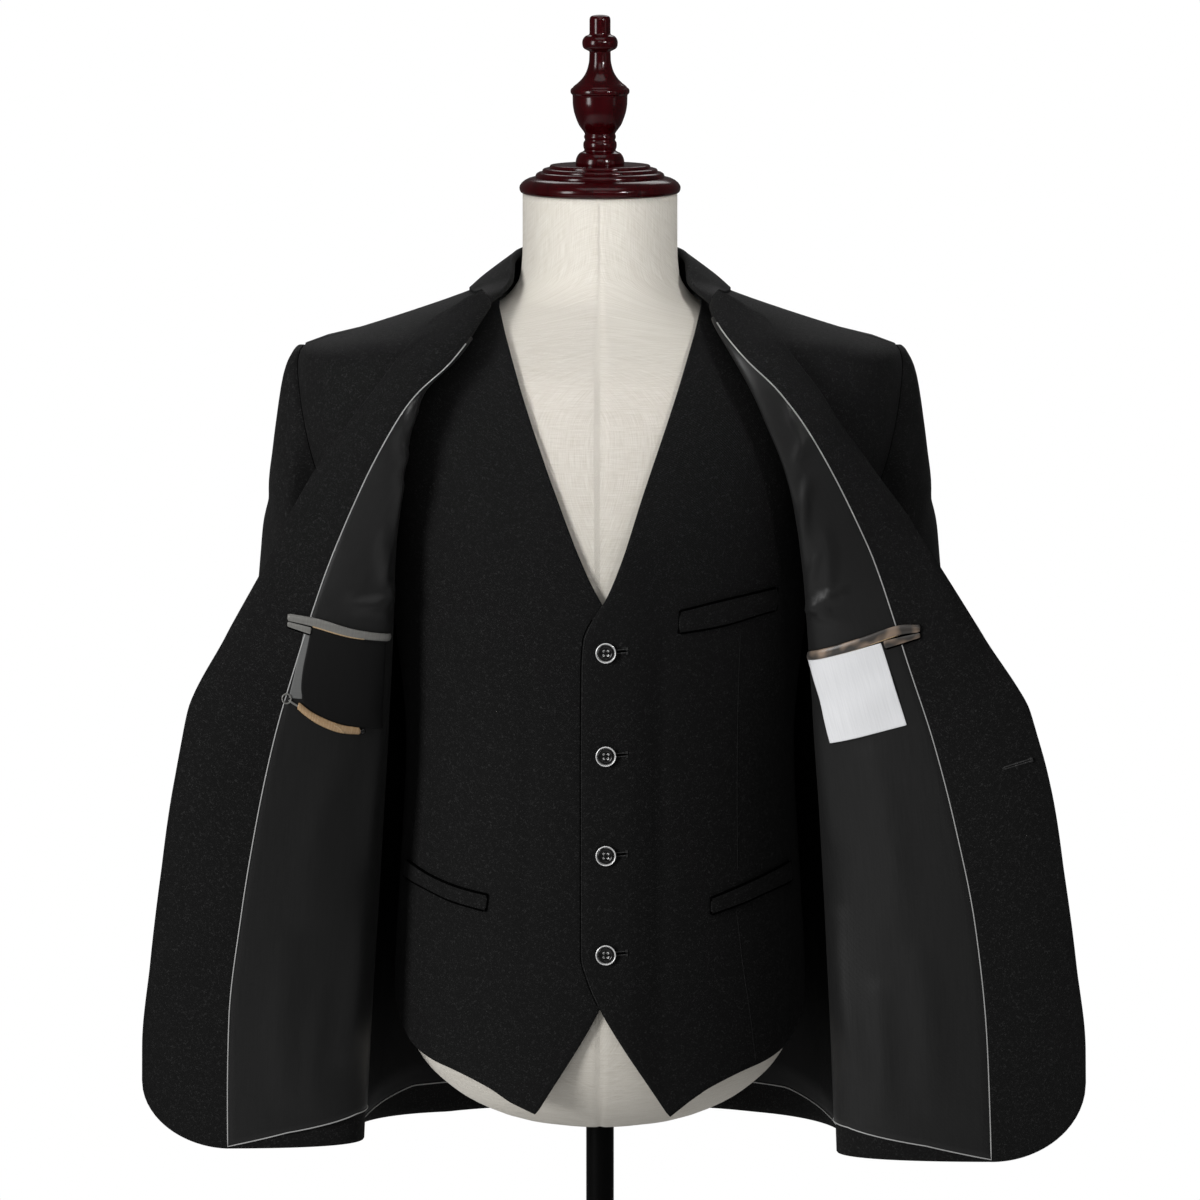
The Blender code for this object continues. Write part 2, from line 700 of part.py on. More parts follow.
def piping_cord(name, grid, normals, surface):
    """The thin corded edge along the facing and the lining's hem, lying on them both."""
    out = surface - SEAM_GAP - 0.0003 - PIPING_RADIUS
    hem = lifted_hem(grid[:, : PIPING_COLUMN + 1], LINING_LIFT)[0]
    edge = grid[:, PIPING_COLUMN] + normals[:, PIPING_COLUMN] * out
    top = PIPING_TOP[RIGHT if name == "right" else LEFT]
    first = np.array([np.interp(top, edge[:, 2], edge[:, axis]) for axis in range(3)])
    route = [first] + [edge[r] for r in range(len(grid) - 1, 0, -1) if edge[r, 2] < top - 0.008]
    route += [hem[c] + normals[0, c] * out for c in range(PIPING_COLUMN, -1, -1)]
    data = bpy.data.curves.new(f"piping_{name}", "CURVE")
    data.dimensions = "3D"
    data.bevel_depth = PIPING_RADIUS
    data.bevel_resolution = 0
    data.use_fill_caps = True
    spline = data.splines.new("POLY")
    spline.points.add(len(route) - 1)
    for point, place in zip(spline.points, route):
        point.co = (*place, 1.0)
    data.materials.append(bpy.data.materials["piping_cord"])
    made = bpy.data.objects.new(f"piping_{name}", data)
    bpy.context.scene.collection.objects.link(made)


def back_column(side, share):
    """A column of the back, from the side seam, armhole and shoulder seam to centre back."""
    hem = side_seam_hem(side) + (HEM_BACK_Z - side_seam_hem(side)) * min(1.0, 2 * share)
    z = column_heights(LEVELS, hem, NECK_Z - 0.005 * share)
    seam = seam_angle("back", z)
    column = section_point(JACKET, seam + (180 - seam) * share, z) * (side, 1, 1)
    if share == 1:
        column[:, 0] = side * SEAM_GAP / 2
    return column


def back_grid(side):
    return np.stack([back_column(side, share) for share in BACK_SHARES], axis=1)


def outward_of(grid):
    """Vectors from the body's axis to the points, level, as a guide to which way is out."""
    return grid * (1.0, 1.0, 0.0)


def jacket_back(looks):
    half = CLOTH / 2
    for side, name in ((RIGHT, "right"), (LEFT, "left")):
        grid = back_grid(side)
        normals = seam_normals(side, "back", grid, normals_of(grid, outward_of(grid)))
        wall(f"jacket_back_{name}", grid, normals, -half, half, looks["wool"])
        inside = -half - SEAM_GAP
        lining = lifted_hem(grid, LINING_LIFT[0])
        wall(f"lining_back_{name}", lining, normals, inside - LINING, inside, looks["lining"])


# The way a sleeve leaves the armhole, from the shoulder point (0) to the armpit (1).
SLEEVE_HEAD = table(
    "low out down reach",
    [
        (0.00, 1.00, 0.05, 0.34),
        (0.10, 0.96, 0.25, 0.45),
        (0.30, 0.90, 0.42, 0.55),
        (0.60, 0.85, 0.50, 0.65),
        (0.85, 0.60, 0.80, 0.70),
        (1.00, 0.30, 0.95, 0.70),
    ],
)
SLEEVE_HEAD_SHARES = (0.0, 0.06, 0.15, 0.28, 0.45, 0.64, 0.82)
SLEEVE_LEVELS = (1.2500, 1.1800, 1.1000, 1.0200, 0.9400, 0.8800, 0.8250)


def armhole_ring(side):
    """Points round the armhole, from the shoulder point down its front and up its back, and normals."""
    heights = np.array(ARMHOLE_Z)
    z = np.concatenate([heights[::-1], heights[1:-1]])
    front = np.arange(len(z)) < len(heights)
    angle = np.where(front, armhole_angle("front", z), armhole_angle("back", z))
    points = section_point(JACKET, angle, z)
    return points * (side, 1, 1), section_normal(JACKET, angle, z) * (side, 1, 1)


def sleeve_ring(side, around, z):
    across = curve(SLEEVE, "x", z) + curve(SLEEVE, "half_width", z) * np.cos(around)
    deep = curve(SLEEVE, "y", z) - curve(SLEEVE, "half_depth", z) * np.sin(around)
    return np.stack([side * across, deep, np.full_like(across, z)], axis=-1)


def sleeve_start(side):
    """The sleeve's first ring, clear of the armhole's edge, with its direction and its places round."""
    points, normals = armhole_ring(side)
    seam = np.roll(points, -1, axis=0) - np.roll(points, 1, axis=0)
    into = unit(np.cross(normals, seam))
    centre = points.mean(axis=0)
    into *= np.sign(np.sum(into * (centre - points), axis=-1, keepdims=True))
    low = (SHOULDER_Z - points[:, 2]) / (SHOULDER_Z - ARMPIT_Z)
    out, down = curve(SLEEVE_HEAD, "out", low), curve(SLEEVE_HEAD, "down", low)
    way = unit(np.stack([side * out, 0.20 * into[:, 1], -down], axis=-1))
    along, off = np.sum(way * into, axis=-1), np.sum(way * normals, axis=-1)
    ahead = 2 * SEAM_GAP + 0.0010 * np.clip(off, 0, 1)
    above = np.clip(0.55 - along * 3, 0, 1) * (CLOTH + SEAM_GAP)
    start = points + into * ahead[:, None] + normals * above[:, None]
    half_way = len(ARMHOLE_Z) - 1
    lengths = np.linalg.norm(np.diff(np.concatenate([points, points[:1]]), axis=0), axis=1)
    run = np.concatenate([[0.0], np.cumsum(lengths)])
    front_part = run[: half_way + 1] / run[half_way]
    back_part = (run[half_way:-1] - run[half_way]) / (run[-1] - run[half_way])
    around = math.pi * np.concatenate([front_part, 1 + back_part[1:]])
    return start, way * curve(SLEEVE_HEAD, "reach", low)[:, None], around


def sleeve_grid(side):
    """The sleeve: a head that rolls out of the armhole and turns down, then rings to the cuff."""
    start, way, around = sleeve_start(side)
    end = sleeve_ring(side, around, SLEEVE_LEVELS[0])
    down = unit(sleeve_ring(side, around, SLEEVE_LEVELS[0] - 0.01) - end)
    chord = np.linalg.norm(end - start, axis=-1, keepdims=True)
    leave, arrive = way * chord, down * chord * 0.9
    rows = []
    for t in SLEEVE_HEAD_SHARES:
        rows.append(
            (1 + 2 * t) * (1 - t) ** 2 * start
            + t * (1 - t) ** 2 * leave
            + t * t * (3 - 2 * t) * end
            - t * t * (1 - t) * arrive
        )
    for z in SLEEVE_LEVELS:
        rows.append(sleeve_ring(side, around, z))
    return np.stack(rows)


def sleeve(side, looks):
    grid = sleeve_grid(side)
    centre = grid.mean(axis=1, keepdims=True)
    normals = normals_of(grid, grid - centre, ring=True)
    name = "right" if side == RIGHT else "left"
    half = CLOTH / 2 * 0.9
    wall(f"sleeve_{name}", grid, normals, -half, half, looks["wool"], ring=True)
    for i in range(3):
        z = SLEEVE_LEVELS[-1] + 0.030 + 0.019 * i
        around = math.radians(-62.0)
        place = sleeve_ring(side, np.array([around]), z)[0]
        across = math.cos(around) / float(curve(SLEEVE, "half_width", z))
        out = unit(np.array([side * across, -math.sin(around) / float(curve(SLEEVE, "half_depth", z)), 0.0]))
        made_of = looks["horn"]
        rest = half + 0.0011
        button(f"cuff_button_{name}_{i + 1}", place + out * rest, out, CUFF_BUTTON_RADIUS, 0.0026, 8, made_of)


COLLAR_STATIONS = (0.0, 0.16, 0.32, 0.48, 0.62, 0.72, 0.84, 1.0)


def neckline(side, station):
    """The jacket's neckline where a collar's station meets it, round the back or along a front."""
    if station < SHOULDER_STATION:
        return back_column(side, 1 - station / SHOULDER_STATION)[-1] * (0 if station == 0 else 1, 1, 1)
    share = (station - SHOULDER_STATION) / (1 - SHOULDER_STATION)
    return front_column(side, share)[-1]


def collar_end(side):
    """The collar's last section, which lies along the top of the open front and its lapel."""
    points = [front_column(side, 1.0)[-1]]
    for share in (0.22, 0.55, 1.0, 1.15, 1.35, 1.55):
        top = GORGE_Z if share <= 1 else float(curve(LAPEL_TOP, "z", share - 1))
        points.append(flap_column(side, np.array([top]), share)[0])
    return np.stack(points) + np.array([0.0, 0.0012, 0.0022])


def collar_section(side, station):
    """The collar's foot, stand, crease and leaf at a station, on the viewer's right or left."""
    if station == 1:
        return collar_end(side)
    crease = np.array([float(curve(COLLAR, f"crease_{axis}", station)) for axis in "xyz"]) * (side, 1, 1)
    angle, leaf_z = curve(COLLAR, "leaf_angle", station), curve(COLLAR, "leaf_z", station)
    clear = curve(COLLAR, "clear", station)
    leaf = section_point(JACKET, angle, leaf_z) + section_normal(JACKET, angle, leaf_z) * clear
    leaf = leaf * (side, 1, 1)
    foot = neckline(side, station) + np.array([0.0, 0.0, 0.0016])
    out = unit((leaf - foot) * (1, 1, 0))
    height = max(crease[2] - foot[2], 0.0)
    roll = min(0.0035, 0.0012 + height * 0.12)
    up = np.array([0.0, 0.0, 1.0])
    return np.stack(
        [
            foot,
            foot + (crease - foot) * 0.55,
            crease - out * roll * 0.7 - up * min(roll, height * 0.35),
            crease,
            crease + out * roll * 0.8 - up * roll * 0.5,
            crease + (leaf - crease) * 0.62 + out * 0.0008 + up * 0.0006,
            leaf,
        ]
    )


def collar_grid():
    """The collar's section carried round the neck, from its left end to its right end."""
    stations = [-s for s in COLLAR_STATIONS[:0:-1]] + list(COLLAR_STATIONS)
    return np.stack([collar_section(LEFT if s < 0 else RIGHT, abs(s)) for s in stations])


def collar(looks):
    grid = collar_grid()
    normals = unit(np.cross(directions(grid, 1), directions(grid, 0)))
    wall("collar", grid, normals, -0.0009, 0.0009, looks["wool"])


# The waistcoat


def vest_point(angle, z, out=0.0):
    """The waistcoat's surface: the form's own, moved out, and hanging straight under the hips."""
    base_z = np.maximum(np.asarray(z, float), VEST_HANGS_BELOW)
    angle = np.asarray(angle, float)
    step, turn = 0.0005, 0.2
    here = section_point(FORM, angle, base_z)
    along = section_point(FORM, angle + turn, base_z) - section_point(FORM, angle - turn, base_z)
    up = section_point(FORM, angle, base_z + step) - section_point(FORM, angle, base_z - step)
    normal = unit(np.cross(along, up))
    below = z - base_z
    normal = np.where(below[..., None] < 0, unit(normal * (1, 1, 0)), normal)
    place = here + normal * (VEST_EASE + np.asarray(out))[..., None]
    place[..., 2] += below
    return place


VEST_LEVELS = (0.0, 0.08, 0.18, 0.32, 0.43, 0.50, 0.545, 0.567, 0.60, 0.67, 0.75, 0.82, 0.87, 0.90)
VEST_LEVELS += (0.92, 0.94, 0.965, 0.985, 1.0)
VEST_BACK_LEVELS = (0.0, 0.17, 0.36, 0.55, 0.60, 0.67, 0.75, 0.82, 0.87, 0.90, 0.92, 0.94, 0.97, 1.0)
VEST_SHARES = (0.0, 0.12, 0.27, 0.43, 0.59, 0.74, 0.88, 1.0)


def vest_front_grid(side):
    """A waistcoat front, from its front edge to the side seam and armhole."""
    edge_rows = VEST_EDGE[side]
    point_z = edge_rows["z"][0]
    levels = np.array(VEST_LEVELS)
    columns = []
    gap = math.degrees(SEAM_GAP / 2 / 0.11)
    for share in VEST_SHARES:
        foot = math.degrees(math.asin(edge_rows["x"][0] / 0.165))
        hem = point_z if share == 0 else float(curve(VEST_HEM, "z", foot + (90 - foot) * share))
        z = hem + (VEST_TOP_Z - hem) * levels
        half_width = curve(FORM, "half_width", np.maximum(z, VEST_HANGS_BELOW)) + VEST_EASE
        inner = np.degrees(np.arcsin(np.clip(curve(edge_rows, "x", z) / half_width, -1, 0.95)))
        outer = curve(VEST_ARMHOLE, "front", z) - gap
        angle = inner + (outer - inner) * share
        x = half_width * np.sin(np.radians(angle))
        lap = 0.0 if side == LEFT else VEST_LAP
        out = lap * np.clip((0.050 - x) / 0.026, 0, 1) * np.clip((1.320 - z) / 0.040, 0, 1)
        columns.append(vest_point(angle, z, out) * (side, 1, 1))
    return np.stack(columns, axis=1)


def vest_normals(grid):
    outward = grid * (1.0, 1.0, 0.0) + np.array([0, 0, 0.05])
    return normals_of(grid, outward)


def vest_back_grid():
    levels = np.array(VEST_BACK_LEVELS)
    gap = math.degrees(SEAM_GAP / 2 / 0.11)
    columns = []
    outer_shares = (0.0, 0.08, 0.18, 0.32, 0.50, 0.74)
    places = [(LEFT, share) for share in outer_shares]
    places += [(RIGHT, share) for share in (1.0, *outer_shares[::-1])]
    for side, inward in places:
        hem = float(VEST_HEM["z"][-1])
        z = hem + (VEST_TOP_Z - 0.010 * inward - hem) * levels
        outer = curve(VEST_ARMHOLE, "back", z) + gap
        columns.append(vest_point(outer + (180 - outer) * inward, z) * (side, 1, 1))
    return np.stack(columns, axis=1)


def waistcoat(looks):
    half = VEST_CLOTH / 2
    for side, name in ((RIGHT, "right"), (LEFT, "left")):
        grid = vest_front_grid(side)
        wall(f"vest_front_{name}", grid, vest_normals(grid), -half, half, looks["wool"])
    grid = vest_back_grid()
    wall("vest_back", grid, vest_normals(grid), -half, half, looks["lining"])
    for i, z in enumerate(VEST_BUTTONS_Z):
        angle = math.degrees(math.asin(VEST_BUTTON_X / 0.16))
        place = vest_point(np.array(angle), np.array(z), np.array(VEST_LAP + half + 0.0008))
        button(f"vest_button_{i + 1}", place, (0, -1, 0), VEST_BUTTON_RADIUS, 0.0032, 12, looks["horn"])
    welts = (
        ("vest_welt_right", RIGHT, (0.0876, 1.0079), (0.1500, 1.0272), 0.0140, 0.0000),
        ("vest_welt_left", LEFT, (0.0896, 1.0101), (0.1540, 1.0280), 0.0138, 0.0030),
        ("vest_breast_welt", RIGHT, (0.0622, 1.2396), (0.1385, 1.2530), 0.0182, -0.0010),
    )
    for name, side, start, end, height, sag in welts:
        grid = welt_grid(side, start, end, height, sag)
        rest = half + 0.0009
        wall(name, grid, vest_normals(grid), rest, rest + 0.0016, looks["wool"])


def welt_grid(side, start, end, height, sag):
    """A pocket welt on a waistcoat front, between two top corners, with a hollow top line."""
    rows = []
    share = np.linspace(0, 1, 9)
    x = start[0] + (end[0] - start[0]) * share
    top = start[1] + (end[1] - start[1]) * share - sag * np.sin(math.pi * share)
    for drop in (1.0, 0.5, 0.0):
        z = top - height * drop
        half_width = curve(FORM, "half_width", z) + VEST_EASE
        angle = np.degrees(np.arcsin(np.clip(x / half_width, -1, 1)))
        rows.append(vest_point(angle, z, np.zeros_like(z)) * (side, 1, 1))
    return np.stack(rows)


# Pieces on the inside of the open fronts


def laid_grid(panels, from_front, side, corners, columns, rows):
    """A grid laid on the named panels, between four corners (x, z) from the upper left, going round."""
    trees = []
    for name in panels:
        mesh = bpy.data.objects[name].data
        faces = [tuple(face.vertices) for face in mesh.polygons]
        trees.append(BVHTree.FromPolygons([vertex.co.copy() for vertex in mesh.vertices], faces))
    (ax, az), (bx, bz), (cx, cz), (dx, dz) = corners
    u, v = np.meshgrid(np.linspace(0, 1, columns), np.linspace(0, 1, rows))
    x = side * ((1 - v) * ((1 - u) * dx + u * cx) + v * ((1 - u) * ax + u * bx))
    z = (1 - v) * ((1 - u) * dz + u * cz) + v * ((1 - u) * az + u * bz)
    start, way = (-1.0, 1.0) if from_front else (1.0, -1.0)
    grid = np.zeros((rows, columns, 3))
    for r in range(rows):
        for c in range(columns):
            depths = []
            for beside in (0.0, 0.0012, -0.0012):  # beside the narrow seam between two panels
                source = (x[r, c] + beside, start, z[r, c])
                hits = [tree.ray_cast(source, (0.0, way, 0.0))[0] for tree in trees]
                depths += [hit.y * way for hit in hits if hit is not None]
            grid[r, c] = (x[r, c], min(depths) * way, z[r, c])
    normals = normals_of(grid, np.broadcast_to([0.0, -way, 0.0], grid.shape))
    return grid, normals


# The pieces laid on the inside of the fronts. Corners are distances from the middle and heights, from the
# upper left going round. "off" is how far a piece lies off the lining, and "thick" how thick it is.
INSIDE_PIECES = {
    "pocket_patch_left": {
        "side": LEFT,
        "corners": ((0.1690, 1.2120), (0.2270, 1.2250), (0.2310, 1.1610), (0.1730, 1.1420)),
        "off": 0.0007,
        "thick": 0.0009,
        "look": "wool",
    },
    "inner_welt_left": {
        "side": LEFT,
        "corners": ((0.1660, 1.2175), (0.2440, 1.2345), (0.2440, 1.2290), (0.1660, 1.2120)),
        "off": 0.0022,
        "thick": 0.0020,
        "look": "satin",
    },
    "inner_lip_left": {
        "side": LEFT,
        "corners": ((0.2270, 1.2240), (0.2450, 1.2280), (0.2450, 1.2232), (0.2270, 1.2180)),
        "off": 0.0022,
        "thick": 0.0016,
        "look": "satin",
    },
    "small_welt_left": {
        "side": LEFT,
        "corners": ((0.1890, 1.1420), (0.2500, 1.1680), (0.2500, 1.1615), (0.1890, 1.1360)),
        "off": 0.0022,
        "thick": 0.0020,
        "look": "bronze",
    },
    "inner_welt_right": {
        "side": RIGHT,
        "corners": ((0.1665, 1.2100), (0.2540, 1.2265), (0.2540, 1.2205), (0.1665, 1.2040)),
        "off": 0.0022,
        "thick": 0.0020,
        "look": "satin",
    },
    "inner_lip_right": {
        "side": RIGHT,
        "corners": ((0.2290, 1.2155), (0.2530, 1.2195), (0.2530, 1.2145), (0.2290, 1.2095)),
        "off": 0.0022,
        "thick": 0.0016,
        "look": "satin",
    },
    "label": {
        "side": RIGHT,
        "corners": ((0.1665, 1.1970), (0.2290, 1.2110), (0.2450, 1.1440), (0.1865, 1.1320)),
        "off": 0.0009,
        "thick": 0.0006,
        "look": "label",
    },
}


def inside_pieces(looks):
    for name, piece in INSIDE_PIECES.items():
        side, off, thick = piece["side"], piece["off"], piece["thick"]
        hand = "right" if side == RIGHT else "left"
        panels = (f"lining_front_{hand}", f"facing_{hand}")
        rows = 2 if thick > 0.0010 else 5
        grid, normals = laid_grid(panels, True, side, piece["corners"], 7, rows)
        wall(name, grid, normals, off, off + thick, looks[piece["look"]])


def outside_pieces(looks):
    """The jacket's one button, and the flaps of the hip pockets, on the outside of the open fronts."""
    corners = ((0.192, 0.986), (0.310, 0.980), (0.312, 0.928), (0.192, 0.934))
    for side, name in ((RIGHT, "right"), (LEFT, "left")):
        grid, normals = laid_grid((f"jacket_front_{name}",), False, side, corners, 8, 3)
        wall(f"hip_flap_{name}", grid, normals, 0.0012, 0.0034, looks["wool"])
    x = float(curve(OPEN_FRONT[LEFT], "edge", 1.107)) - 0.020
    small = ((x - 0.001, 1.108), (x + 0.001, 1.108), (x + 0.001, 1.106), (x - 0.001, 1.106))
    grid, _ = laid_grid(("jacket_front_left",), False, LEFT, small, 2, 2)
    place = grid.mean(axis=(0, 1)) + np.array([0.0, 0.0014, 0.0])
    button("jacket_button", place, (0, 1, 0), JACKET_BUTTON_RADIUS, 0.0040, 12, looks["horn"])


# The dress form and its stand


def dress_form(looks):
    levels = np.sort(np.concatenate([FORM["z"], [0.8490, 0.8765, 1.4070, 1.4320, 1.4525, 1.4700]]))
    around = np.linspace(0, 360, 24, endpoint=False)
    rings = [section_point(FORM, around, np.full_like(around, z)) for z in levels]
    points = np.concatenate(rings)
    steps = len(around)
    faces = []
    for r in range(len(levels) - 1):
        for i in range(steps):
            j = (i + 1) % steps
            faces.append((r * steps + i, r * steps + j, (r + 1) * steps + j, (r + 1) * steps + i))
    faces.append(tuple(range(steps)))
    faces.append(tuple(range((len(levels) - 1) * steps, len(levels) * steps)))
    new_object("form_torso", points, faces, looks["linen"])
    turned("neck_cap", NECK_CAP, CAP_Z, 24, looks["mahogany"])
    turned("finial", FINIAL, CAP_Z + NECK_CAP[-1][1] + 0.0003, 16, looks["mahogany"])
    pole = [(POLE_RADIUS, 0.0), (POLE_RADIUS, 0.8063 - BASE_HEIGHT)]
    turned("pole", pole, BASE_HEIGHT, 16, looks["black_metal"])
    base = [(radius * BASE_RADIUS, height) for radius, height in BASE]
    turned("base", base, 0.0, 28, looks["black_metal"])


def main():
    reset_scene()
    for side in (RIGHT, LEFT):
        add_leaving_column(side)
    looks = {
        "wool": material("wool", (0.012, 0.012, 0.013), 0.85),
        "lining": material("lining_satin", (0.035, 0.035, 0.036), 0.40),
        "satin": material("satin_tape", (0.12, 0.11, 0.10), 0.35),
        "bronze": material("bronze_tape", (0.50, 0.30, 0.15), 0.35),
        "piping": material("piping_cord", (0.55, 0.55, 0.55), 0.5),
        "label": material("label_satin", (0.75, 0.76, 0.78), 0.45),
        "horn": material("button_horn", (0.03, 0.03, 0.032), 0.25),
        "linen": material("form_linen", (0.72, 0.69, 0.61), 0.9),
        "mahogany": material("mahogany", (0.10, 0.010, 0.014), 0.12),
        "black_metal": material("black_metal", (0.010, 0.010, 0.011), 0.35, 0.6),
    }
    dress_form(looks)
    waistcoat(looks)
    for side in (RIGHT, LEFT):
        jacket_front(side, looks)
    jacket_back(looks)
    for side in (RIGHT, LEFT):
        sleeve(side, looks)
    collar(looks)
    inside_pieces(looks)
    outside_pieces(looks)


main()
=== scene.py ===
import math

import bpy
import numpy as np
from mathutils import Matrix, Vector


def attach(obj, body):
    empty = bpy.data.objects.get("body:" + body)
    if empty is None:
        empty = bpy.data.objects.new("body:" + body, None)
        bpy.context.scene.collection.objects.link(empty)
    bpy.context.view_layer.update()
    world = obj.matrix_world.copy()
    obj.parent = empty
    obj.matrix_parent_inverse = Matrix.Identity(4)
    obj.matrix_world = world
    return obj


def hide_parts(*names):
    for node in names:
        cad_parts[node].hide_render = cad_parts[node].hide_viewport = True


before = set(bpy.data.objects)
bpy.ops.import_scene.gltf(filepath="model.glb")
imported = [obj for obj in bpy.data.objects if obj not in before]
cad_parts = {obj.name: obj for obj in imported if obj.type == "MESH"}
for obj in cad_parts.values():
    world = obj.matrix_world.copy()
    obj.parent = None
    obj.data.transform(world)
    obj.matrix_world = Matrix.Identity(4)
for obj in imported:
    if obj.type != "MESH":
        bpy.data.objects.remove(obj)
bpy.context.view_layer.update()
print("frame loaded:", len(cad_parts), "nodes")

right, left = 1, -1  # the viewer's right and left
sideName = {right: "right", left: "left"}


# Rows of numbers as named columns, in the order of the first one.
def table(names, rows):
    columns = np.array(sorted(rows), float).T
    return dict(zip(names.split(), columns))


# A cubic curve from start to end that leaves and arrives with the given slopes.
def hermite(t, start, leave, end, arrive):
    return ((1 + 2 * t) * (1 - t) ** 2 * start + t * (1 - t) ** 2 * leave
            + t * t * (3 - 2 * t) * end - t * t * (1 - t) * arrive)


# A smooth curve through values at given places, along the first axis. Each slope is the harmonic mean of
# its neighbours' slopes, or 0 at a turning point, so the curve never swings past a value.
# With loose=True each slope is the plain mean instead, for a shape that turns back.
def smoothThrough(places, values, at, loose=False):
    values, places = np.asarray(values, float), np.asarray(places, float)
    more = (1,) * (values.ndim - 1)
    span = np.diff(places).reshape(-1, *more)
    slopes = np.diff(values, axis=0) / span
    ends = np.concatenate([slopes[:1], slopes, slopes[-1:]])
    before, after = ends[:-1], ends[1:]
    same = before * after > 0
    tangents = np.where(same, 2 * before * after / np.where(same, before + after, 1.0), 0.0)
    if loose:
        tangents = (before + after) / 2
    at = np.clip(np.asarray(at, float), places[0], places[-1])
    low = np.clip(np.searchsorted(places, at, side="right") - 1, 0, len(places) - 2)
    wide = np.diff(places)[low]
    t = (at - places[low]) / wide
    t, wide = t.reshape(t.shape + more), np.reshape(wide, np.shape(wide) + more)
    return hermite(t, values[low], wide * tangents[low], values[low + 1], wide * tangents[low + 1])


def curveAt(rows, name, at):
    return smoothThrough(next(iter(rows.values())), rows[name], at)


def unit(vectors):
    return vectors / np.maximum(np.linalg.norm(vectors, axis=-1, keepdims=True), 1e-12)


# Places from the first to the last value, with each stretch between neighbours cut in equal steps.
def finer(values, step):
    found = [np.array([values[0]], float)]
    for low, high in zip(values[:-1], values[1:]):
        count = max(1, int(math.ceil((high - low) / step)))
        found.append(np.linspace(low, high, count + 1)[1:])
    return np.concatenate(found)


# Distance from the first of a row of points to each of them, along the row.
def runAlong(points):
    return np.concatenate([[0], np.cumsum(np.linalg.norm(np.diff(points, axis=0), axis=-1))])


# 1 along a row of count places, falling to 0 over the first and last few of them.
def fadedEnds(count, steps):
    place = np.arange(count)
    return np.clip(np.minimum(place, place[::-1]) / steps, 0, 1)


# Distance along each row or column of a grid, from its middle line, for a cloth's own UV map in metres.
def lengthsAlong(grid, axis):
    steps = np.linalg.norm(np.diff(grid, axis=axis), axis=-1)
    zero = np.zeros_like(np.take(steps, [0], axis=axis))
    run = np.concatenate([zero, np.cumsum(steps, axis=axis)], axis=axis)
    return run - run.mean(axis=axis, keepdims=True)


def gridUV(grid):
    return np.stack([lengthsAlong(grid, 1), lengthsAlong(grid, 0)], axis=-1).reshape(-1, 2)


def gridNormals(grid, ring=False):
    if ring:
        across = np.roll(grid, -1, axis=1) - np.roll(grid, 1, axis=1)
    else:
        across = np.gradient(grid, axis=1)
    along = np.gradient(grid, axis=0)
    return unit(np.cross(across, along))


def addObject(name, data):
    made = bpy.data.objects.new(name, data)
    bpy.context.scene.collection.objects.link(made)
    return made


def newPiece(name, points, faces, uv, look, stands=()):
    mesh = bpy.data.meshes.new(name)
    mesh.from_pydata(points.tolist(), [], faces if isinstance(faces, list) else faces.tolist())
    if uv is not None:
        layer = mesh.uv_layers.new(name="cloth")
        corner = np.zeros(len(mesh.loops), np.int32)
        mesh.loops.foreach_get("vertex_index", corner)
        layer.data.foreach_set("uv", uv[corner].astype(np.float32).ravel())
    mesh.shade_smooth()
    mesh.materials.append(looks[look])
    piece = addObject(name, mesh)
    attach(piece, "root")
    if stands:
        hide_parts(*stands)
    return piece


# The quads of a grid of indices, in the order that faces them along the grid's own normals.
def quads(index, ring=False):
    if ring:
        index = np.concatenate([index, index[:, :1]], axis=1)
    return np.stack([index[:-1, :-1], index[:-1, 1:], index[1:, 1:], index[1:, :-1]], axis=-1).reshape(-1, 4)


def signedVolume(points, faces):
    a, b, c, d = (points[faces[:, i]] for i in range(4))
    return float(np.sum(np.cross(b - a, c - a) * a) + np.sum(np.cross(c - a, d - a) * a))


# The faces of a pipe of rings, with one face over each end, turned to face outwards.
def pipeFaces(points, index):
    wall = quads(index, True)
    if signedVolume(points, wall) < 0:
        wall, index = wall[:, ::-1], index[:, ::-1]
    return [*wall.tolist(), index[0][::-1].tolist(), index[-1].tolist()]


rimSteps = 3  # steps of the half circle round a cloth's edge


